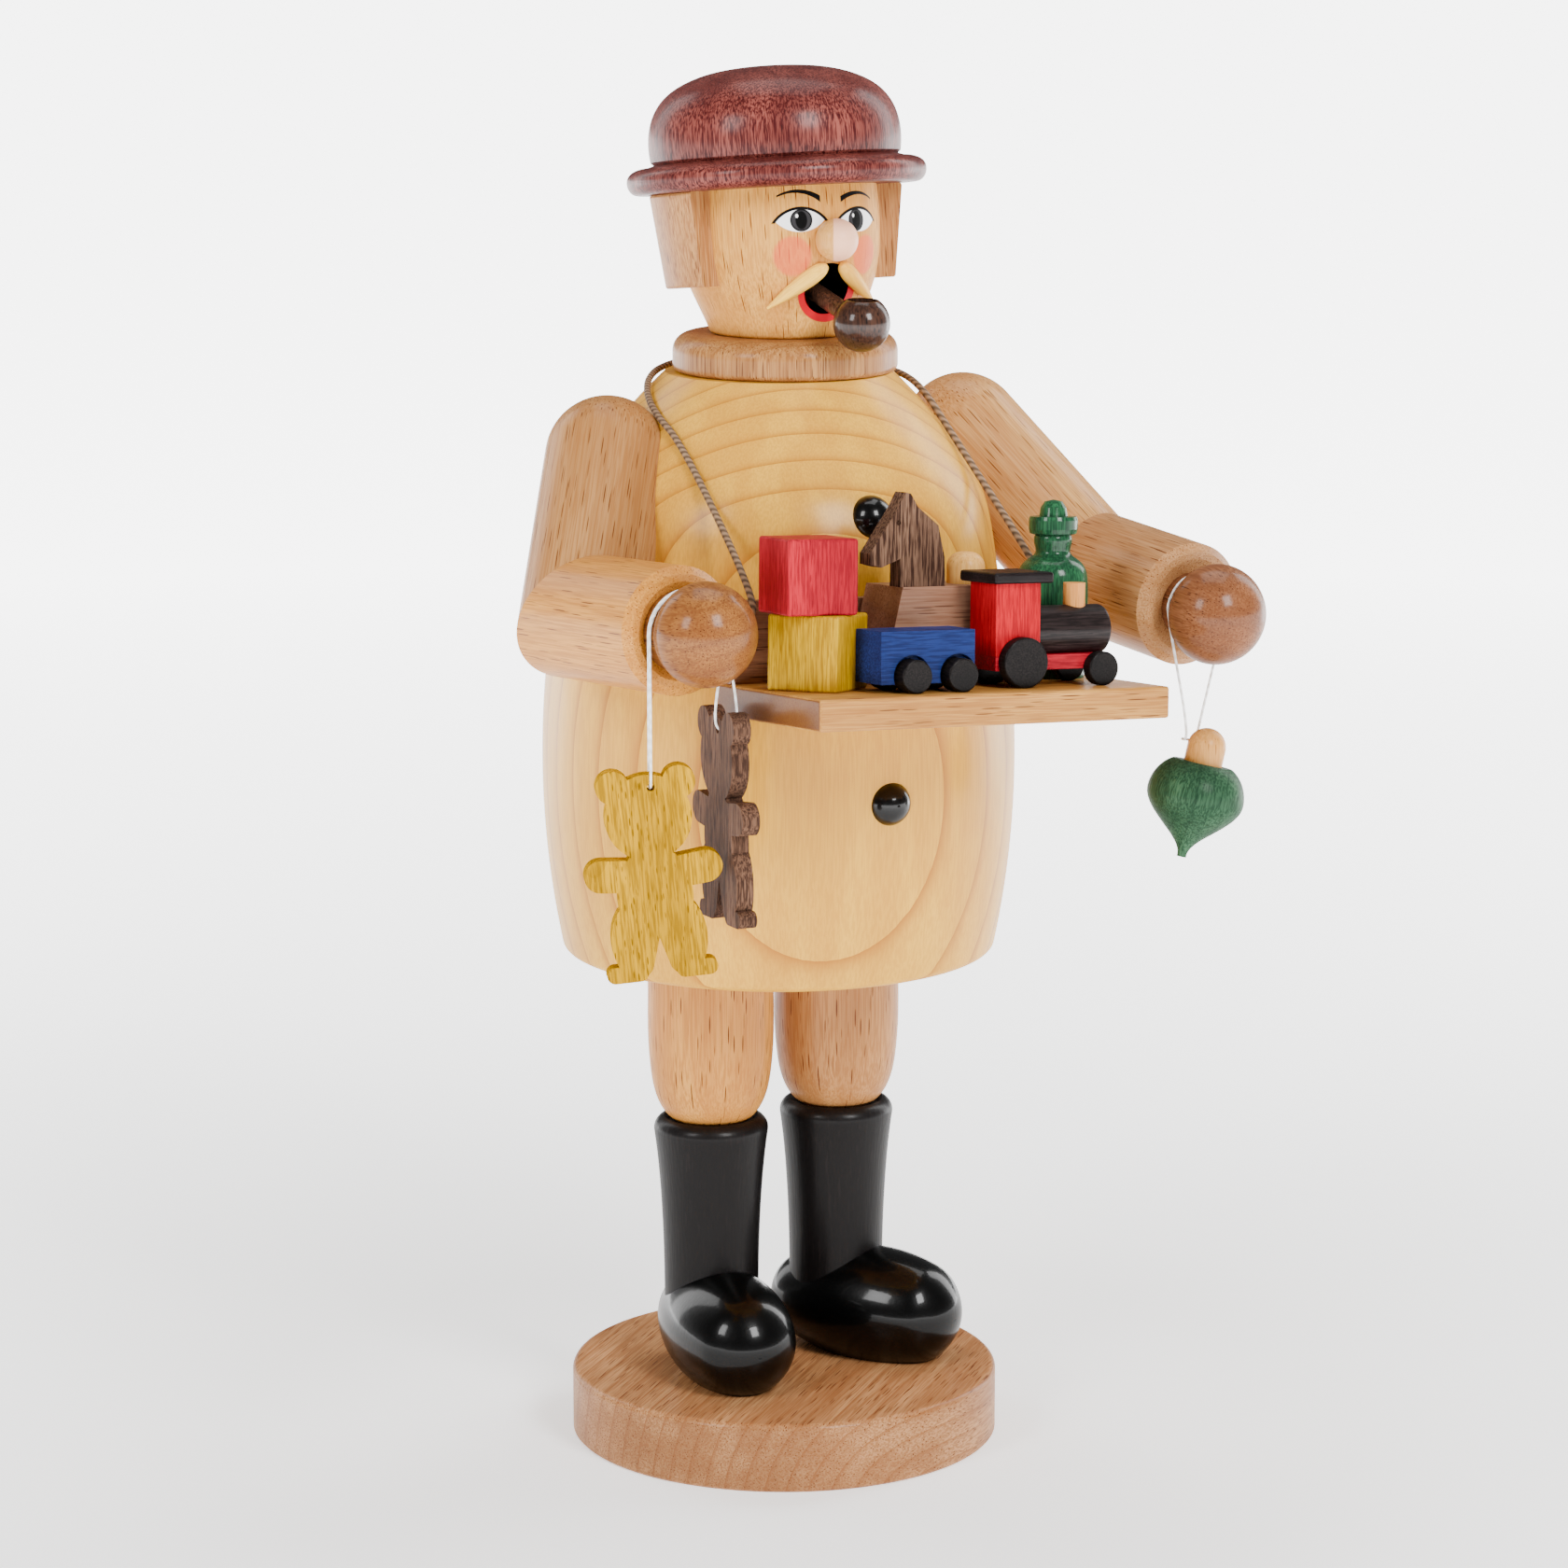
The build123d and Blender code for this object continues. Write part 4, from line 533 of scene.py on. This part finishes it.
def finishes():
    """One material for each node, named for the wood and how it was finished."""
    head_up = tuple(HEAD_LIE @ Vector((0, 0, 1)))
    tray_across = tuple(TRAY_LIE @ Vector((1, 0, 0)))
    tray_up = tuple(TRAY_LIE @ Vector((0, 0, 1)))

    # The grain of the arms runs along each piece
    arm_ways = {"right_upper_arm": (-14.0, -18.3, -23.4), "left_upper_arm": (14.0, -18.3, -22.6),
                "right_forearm": (2.3, -38.0, 2.4), "left_forearm": (1.8, -38.0, -2.8)}

    made = {}

    # Coat, one block of maple, turned, sanded fine and satin varnished: honey coloured and smooth,
    # with arches where the shoulder slopes through the growth rings and long ovals on its side
    made["coat"] = wood("maple_coat", "#e4ab38", "#ab6616", "#a5681c", middle=COAT_MIDDLE,
                        pith=(-8.0, -25.0), ring_width=3.1, rings=0.9, streaks=0.26, flecks=0.0,
                        tones=0.25, roughness=0.45, gloss=0.3, gloss_roughness=0.24, relief=0.03)

    # Arms, legs, base, collar, head, hair and nose, turned from beech and varnished: each has its own
    # tone and grain. The hands are polished more, and the base's edge shows end grain with its rings
    for name, along in arm_ways.items():
        made[name] = beech(name, along=along, pith=(30, 15), rings=0.4, ring_width=3.4)
    for side, pith in (("right", (20, 60)), ("left", (-35, 40))):
        made[side + "_leg"] = beech(side + "_leg", pith=pith, ray=(0.42, 7.0), axis=LEG_AXES[side])
        made[side + "_hand"] = beech(side + "_hand", along=arm_ways[side + "_forearm"], rings=0.6,
                                     ring_width=2.5, pith=(12, 8), gloss=0.25, gloss_roughness=0.16)
    made["base_disc"] = beech("base_disc", along=(-0.74, -0.67, 0), pith=(-20, 30), ring_width=3.4,
                              rings=0.9, ends=0.2)
    made["collar"] = beech("collar", rings=0.85, ring_width=2.6, streaks=0.85, pith=(-6, -20),
                           middle=COLLAR_MIDDLE)
    made["head"] = beech("head", along=head_up, flecks=1.0, ray=(0.4, 6.5), rings=0.25, gloss=0.04,
                         shine=0.03, middle=HEAD_MIDDLE, axis=(0, 0, FACE_RADIUS))
    face_paint(made["head"])
    made["hair_wreath"] = beech("hair_wreath", along=head_up, rings=0.5, ring_width=2.2,
                                fibre=(0.25, 7.0), streaks=0.75, gloss=0.06)

    # Nose, a ball turned from beech: tan on one side, with a pale pink painted highlight over its right
    # side
    made["nose"] = beech("nose", along=head_up, flecks=0.1, ring_width=3.6, rings=0.3, pith=(3, 2))
    nose_shader = made["nose"].node_tree.nodes["Principled BSDF"]
    across = add(made["nose"], "ShaderNodeSeparateXYZ",
                 {0: in_piece(made["nose"], NOSE_HIGHLIGHT_EDGE, (0, 0, radians(NOSE_HIGHLIGHT_TURN)))}).outputs["X"]
    nose_highlight = paint(made["nose"], nose_shader.inputs["Base Color"].links[0].from_socket, "#f0b694",
                  (across, -NOSE_HIGHLIGHT_SOFT, NOSE_HIGHLIGHT_SOFT))
    made["nose"].node_tree.links.new(nose_highlight, nose_shader.inputs["Base Color"])

    # Moustaches, maple turned to thin spindles and varnished: pale and plain, with little grain
    # The left one's darker pale tone is painted shade, for its side turned away from the light
    for side, way, pale in (("right", (-7.6, 4.5, -5.9), "#ffcb50"),
                            ("left", (7.5, 4.9, -6.0), "#e8b548")):
        made[side + "_moustache"] = wood("maple_" + side + "_moustache", pale, "#d8912a", "#b9803c",
                                         along=way, flecks=0.15, rings=0.2, streaks=0.4, gloss=0.15)

    # Hat, beech turned, stained red-brown and varnished: pinkish fibres stand in a darker ground, and
    # the varnish gives soft lights on the crown and the rim
    made["hat"] = wood("beech_stained_hat", "#83443b", "#3a0d0e", "#1e0607", along=head_up,
                       streaks=1.0, flecks=0.5, ray=(0.5, 5.0), rings=0.4, tones=0.5,
                       fibre=(0.28, 5.0), roughness=0.42, gloss=0.2, gloss_roughness=0.22, relief=0.3)

    # Pipe, beech turned and stained dark brown under gloss varnish, its open pores left black
    for piece, pale in (("pipe_bowl", "#432b20"), ("pipe_stem", "#563829")):
        made[piece] = wood("beech_stained_" + piece, pale, "#20130f", "#070404", along=head_up,
                           streaks=0.8, flecks=0.9, ray=(0.5, 2.6), rings=0.3, roughness=0.4,
                           gloss=0.45, gloss_roughness=0.12)

    # Shoes, boot shafts and buttons, brushed with black enamel: the shoes and buttons are glossy with
    # sharp lights, the shafts satin with the grain standing in them
    for side in ("right", "left"):
        made[side + "_shoe"] = enamel("enamel_gloss_" + side + "_shoe", "#030303", "#090808",
                                      gloss=0.3, gloss_roughness=0.1)
        made[side + "_boot_shaft"] = enamel("enamel_satin_" + side + "_shaft", "#0c0909", "#211918",
                                            roughness=0.5, gloss=0.15, gloss_roughness=0.25, relief=0.2)
    for place in ("upper", "lower"):
        made["coat_button_" + place] = enamel("enamel_gloss_button_" + place, "#050404", "#0d0c0b",
                                              gloss=0.45, gloss_roughness=0.12)

    # Tray, its back board, the horse's base and the small pegs, sawn from beech and varnished: the
    # grain runs along the tray, and the sawn ends of its board are darker
    made["tray_board"] = beech("tray_board", along=tray_across, middle=TRAY_MIDDLE, pith=(-14, 55),
                               ends=0.85)
    made["tray_back_board"] = beech("tray_back_board", along=tray_across, pith=(30, 20))
    made["horse_base"] = beech("horse_base", along=tray_across)
    for piece in ("horse_peg", "loco_chimney", "top_knob"):
        made[piece] = beech(piece, along=tray_up, flecks=0.4)

    # Toys on the tray and the spinning top, cut or turned from beech and stained: plain strong colours
    # with the grain in them. The green man and the boiler have more varnish and a little gloss
    made["red_block"] = stained("stain_red_block", "#b81c2d", "#6c0614", along=tray_up, rings=0.35)
    made["yellow_block"] = stained("stain_yellow_block", "#cfa300", "#865b00", along=tray_up, rings=0.45)
    made["wagon_body"] = stained("stain_blue_wagon", "#263977", "#0e1538", along=tray_across)
    made["loco_cab"] = stained("stain_red_cab", "#be1220", "#7a0310", along=tray_up)
    made["loco_chassis"] = stained("stain_red_chassis", "#aa1b2a", "#6e0615", along=tray_across)
    made["green_man"] = stained("stain_green_man", "#2d6741", "#092519", along=tray_up, gloss=0.4,
                                gloss_roughness=0.15)
    made["top_body"] = stained("stain_green_top", "#42674a", "#122a1c", along=(0.25, 0, 0.97), rings=0.5,
                               ring_width=2.5)
    made["horse_head"] = stained("stain_brown_horse", "#7d5e4a", "#2e1d16", along=tray_up, rings=0.3,
                                 streaks=1.0, gloss=0.0, roughness=0.6, relief=0.4)
    made["loco_boiler"] = stained("stain_black_boiler", "#302625", "#0a0707", along=tray_across,
                                  roughness=0.5, gloss=0.25)
    made["loco_roof"] = stained("stain_black_roof", "#261d1e", "#090707", along=tray_across,
                                roughness=0.5, gloss=0.2)
    for piece in ("loco_rear_wheels", "loco_front_wheels", "wagon_wheels"):
        made[piece] = stained("stain_black_" + piece, "#1a1615", "#070606", along=(0, 1, 0),
                              roughness=0.55, gloss=0.15, fibre=(0.3, 2.0))

    # Bears, fretsawn and stained all over without varnish: matt, with the grain left in their faces
    made["yellow_bear"] = stained("stain_yellow_bear", "#cb9800", "#6f4c00", along=(-0.1, 0, 1),
                                  rings=0.3, streaks=0.65, tones=0.3, flecks=0.9, fibre=(0.35, 7.0),
                                  roughness=0.6, shine=0.0, gloss=0.0)
    made["brown_bear"] = stained("stain_brown_bear", "#715240", "#2c1d17", rings=0.2, streaks=0.9,
                                 ray=(0.3, 2.5), roughness=0.6, gloss=0.0, relief=0.4)

    # Plug and dowels, plain beech hidden inside, and the dish for the incense
    made["leg_plug"] = beech("leg_plug", along=(1, 0, 0), tone="hidden")
    for piece in ("base_dowels", "shoulder_dowels", "tray_dowels"):
        made[piece] = beech(piece, tone="hidden")
    made["cone_dish"] = pressed_sheet()

    # White cotton thread, and the neck cord of waxed grey-brown yarn: matt, with their twist showing
    made["bear_thread_saddle"] = spun("thread_cotton", "#ffffff", "#e4e0d8")
    made["cord_knots"] = spun("cord_waxed", "#98795b", "#4f3c28")
    return made


def pressed_sheet():
    """Dish, thin pressed aluminium dulled by ash: grey metal with soft, blotchy lights."""
    made, shader = blank("aluminium_pressed_dish")
    ash = add(made, "ShaderNodeTexNoise", {"Vector": in_piece(made), "Scale": ASH_SCALE, "Detail": 3.0})
    shade = add(made, "ShaderNodeMix", {0: ash.outputs["Fac"], 6: linear("#c9c8c5"),
                                        7: linear("#8d8a86")}, data_type="RGBA")
    made.node_tree.links.new(shade.outputs[2], shader.inputs["Base Color"])
    shader.inputs["Metallic"].default_value = 1.0
    shader.inputs["Roughness"].default_value = DISH_ROUGHNESS
    return made


def dress(made, strands):
    """Give every CAD node and strand its material."""
    for name, material in made.items():
        nodes[name].data.materials.clear()
        nodes[name].data.materials.append(material)
    missing = [name for name in nodes if name not in made and not name.endswith("thread")
               and name != "neck_cord"]
    if missing:
        raise ValueError(f"no finish for {missing}")
    for piece in strands:
        cord = piece.name == "cord_neck"
        piece.data.materials.append(made["cord_knots"] if cord else made["bear_thread_saddle"])


def soft_box(name, turn, height, distance, size, power):
    """Soft studio light, turned round the object from the camera's side and aimed at its middle."""
    lamp = bpy.data.lights.new(name, "AREA")
    lamp.shape = "RECTANGLE"
    lamp.size, lamp.size_y = size
    lamp.energy = power
    around = radians(CAMERA_TURN + turn)
    place = Vector((sin(around) * distance, -cos(around) * distance, height))
    made = bpy.data.objects.new(name, lamp)
    made.location = place
    made.rotation_euler = (Vector(LIT_MIDDLE) * MM - place).to_track_quat("-Z", "Y").to_euler()
    bpy.context.collection.objects.link(made)


def studio():
    """Studio of the photograph: matt white paper that glows, so that the shadow on it stays faint,
    pale surroundings, and soft lights, tall ones at both sides and smaller ones in front."""
    sheet = bmesh.new()
    bmesh.ops.create_grid(sheet, x_segments=1, y_segments=1, size=FLOOR_SIZE / 2)
    mesh = bpy.data.meshes.new("studio_floor")
    sheet.to_mesh(mesh)
    sheet.free()
    floor = bpy.data.objects.new("studio_floor", mesh)
    bpy.context.collection.objects.link(floor)
    paper, shader = blank("paper_matt_white")
    spot = add(paper, "ShaderNodeTexCoord").outputs["Object"]
    reach = add(paper, "ShaderNodeVectorMath", {0: spot}, operation="LENGTH").outputs["Value"]
    glow = add(paper, "ShaderNodeMapRange",
               {"Value": reach, "From Min": GLOW_REACH[0], "From Max": GLOW_REACH[1],
                "To Min": GLOW[0], "To Max": GLOW[1]})
    paper.node_tree.links.new(glow.outputs["Result"], shader.inputs["Emission Strength"])
    shader.inputs["Emission Color"].default_value = linear("#ffffff")
    shader.inputs["Base Color"].default_value = linear("#fafafa")
    shader.inputs["Roughness"].default_value = PAPER_ROUGHNESS
    shader.inputs["Specular IOR Level"].default_value = 0.0
    floor.data.materials.append(paper)
    world = bpy.data.worlds.new("studio")
    bpy.context.scene.world = world
    world.use_nodes = True
    world.node_tree.nodes["Background"].inputs["Color"].default_value = linear("#ffffff")
    world.node_tree.nodes["Background"].inputs["Strength"].default_value = SURROUNDINGS
    for name, setting in LIGHTS.items():
        soft_box(name, *setting)


camera()
strands = threads()
dress(finishes(), strands)
studio()
bpy.context.view_layer.update()
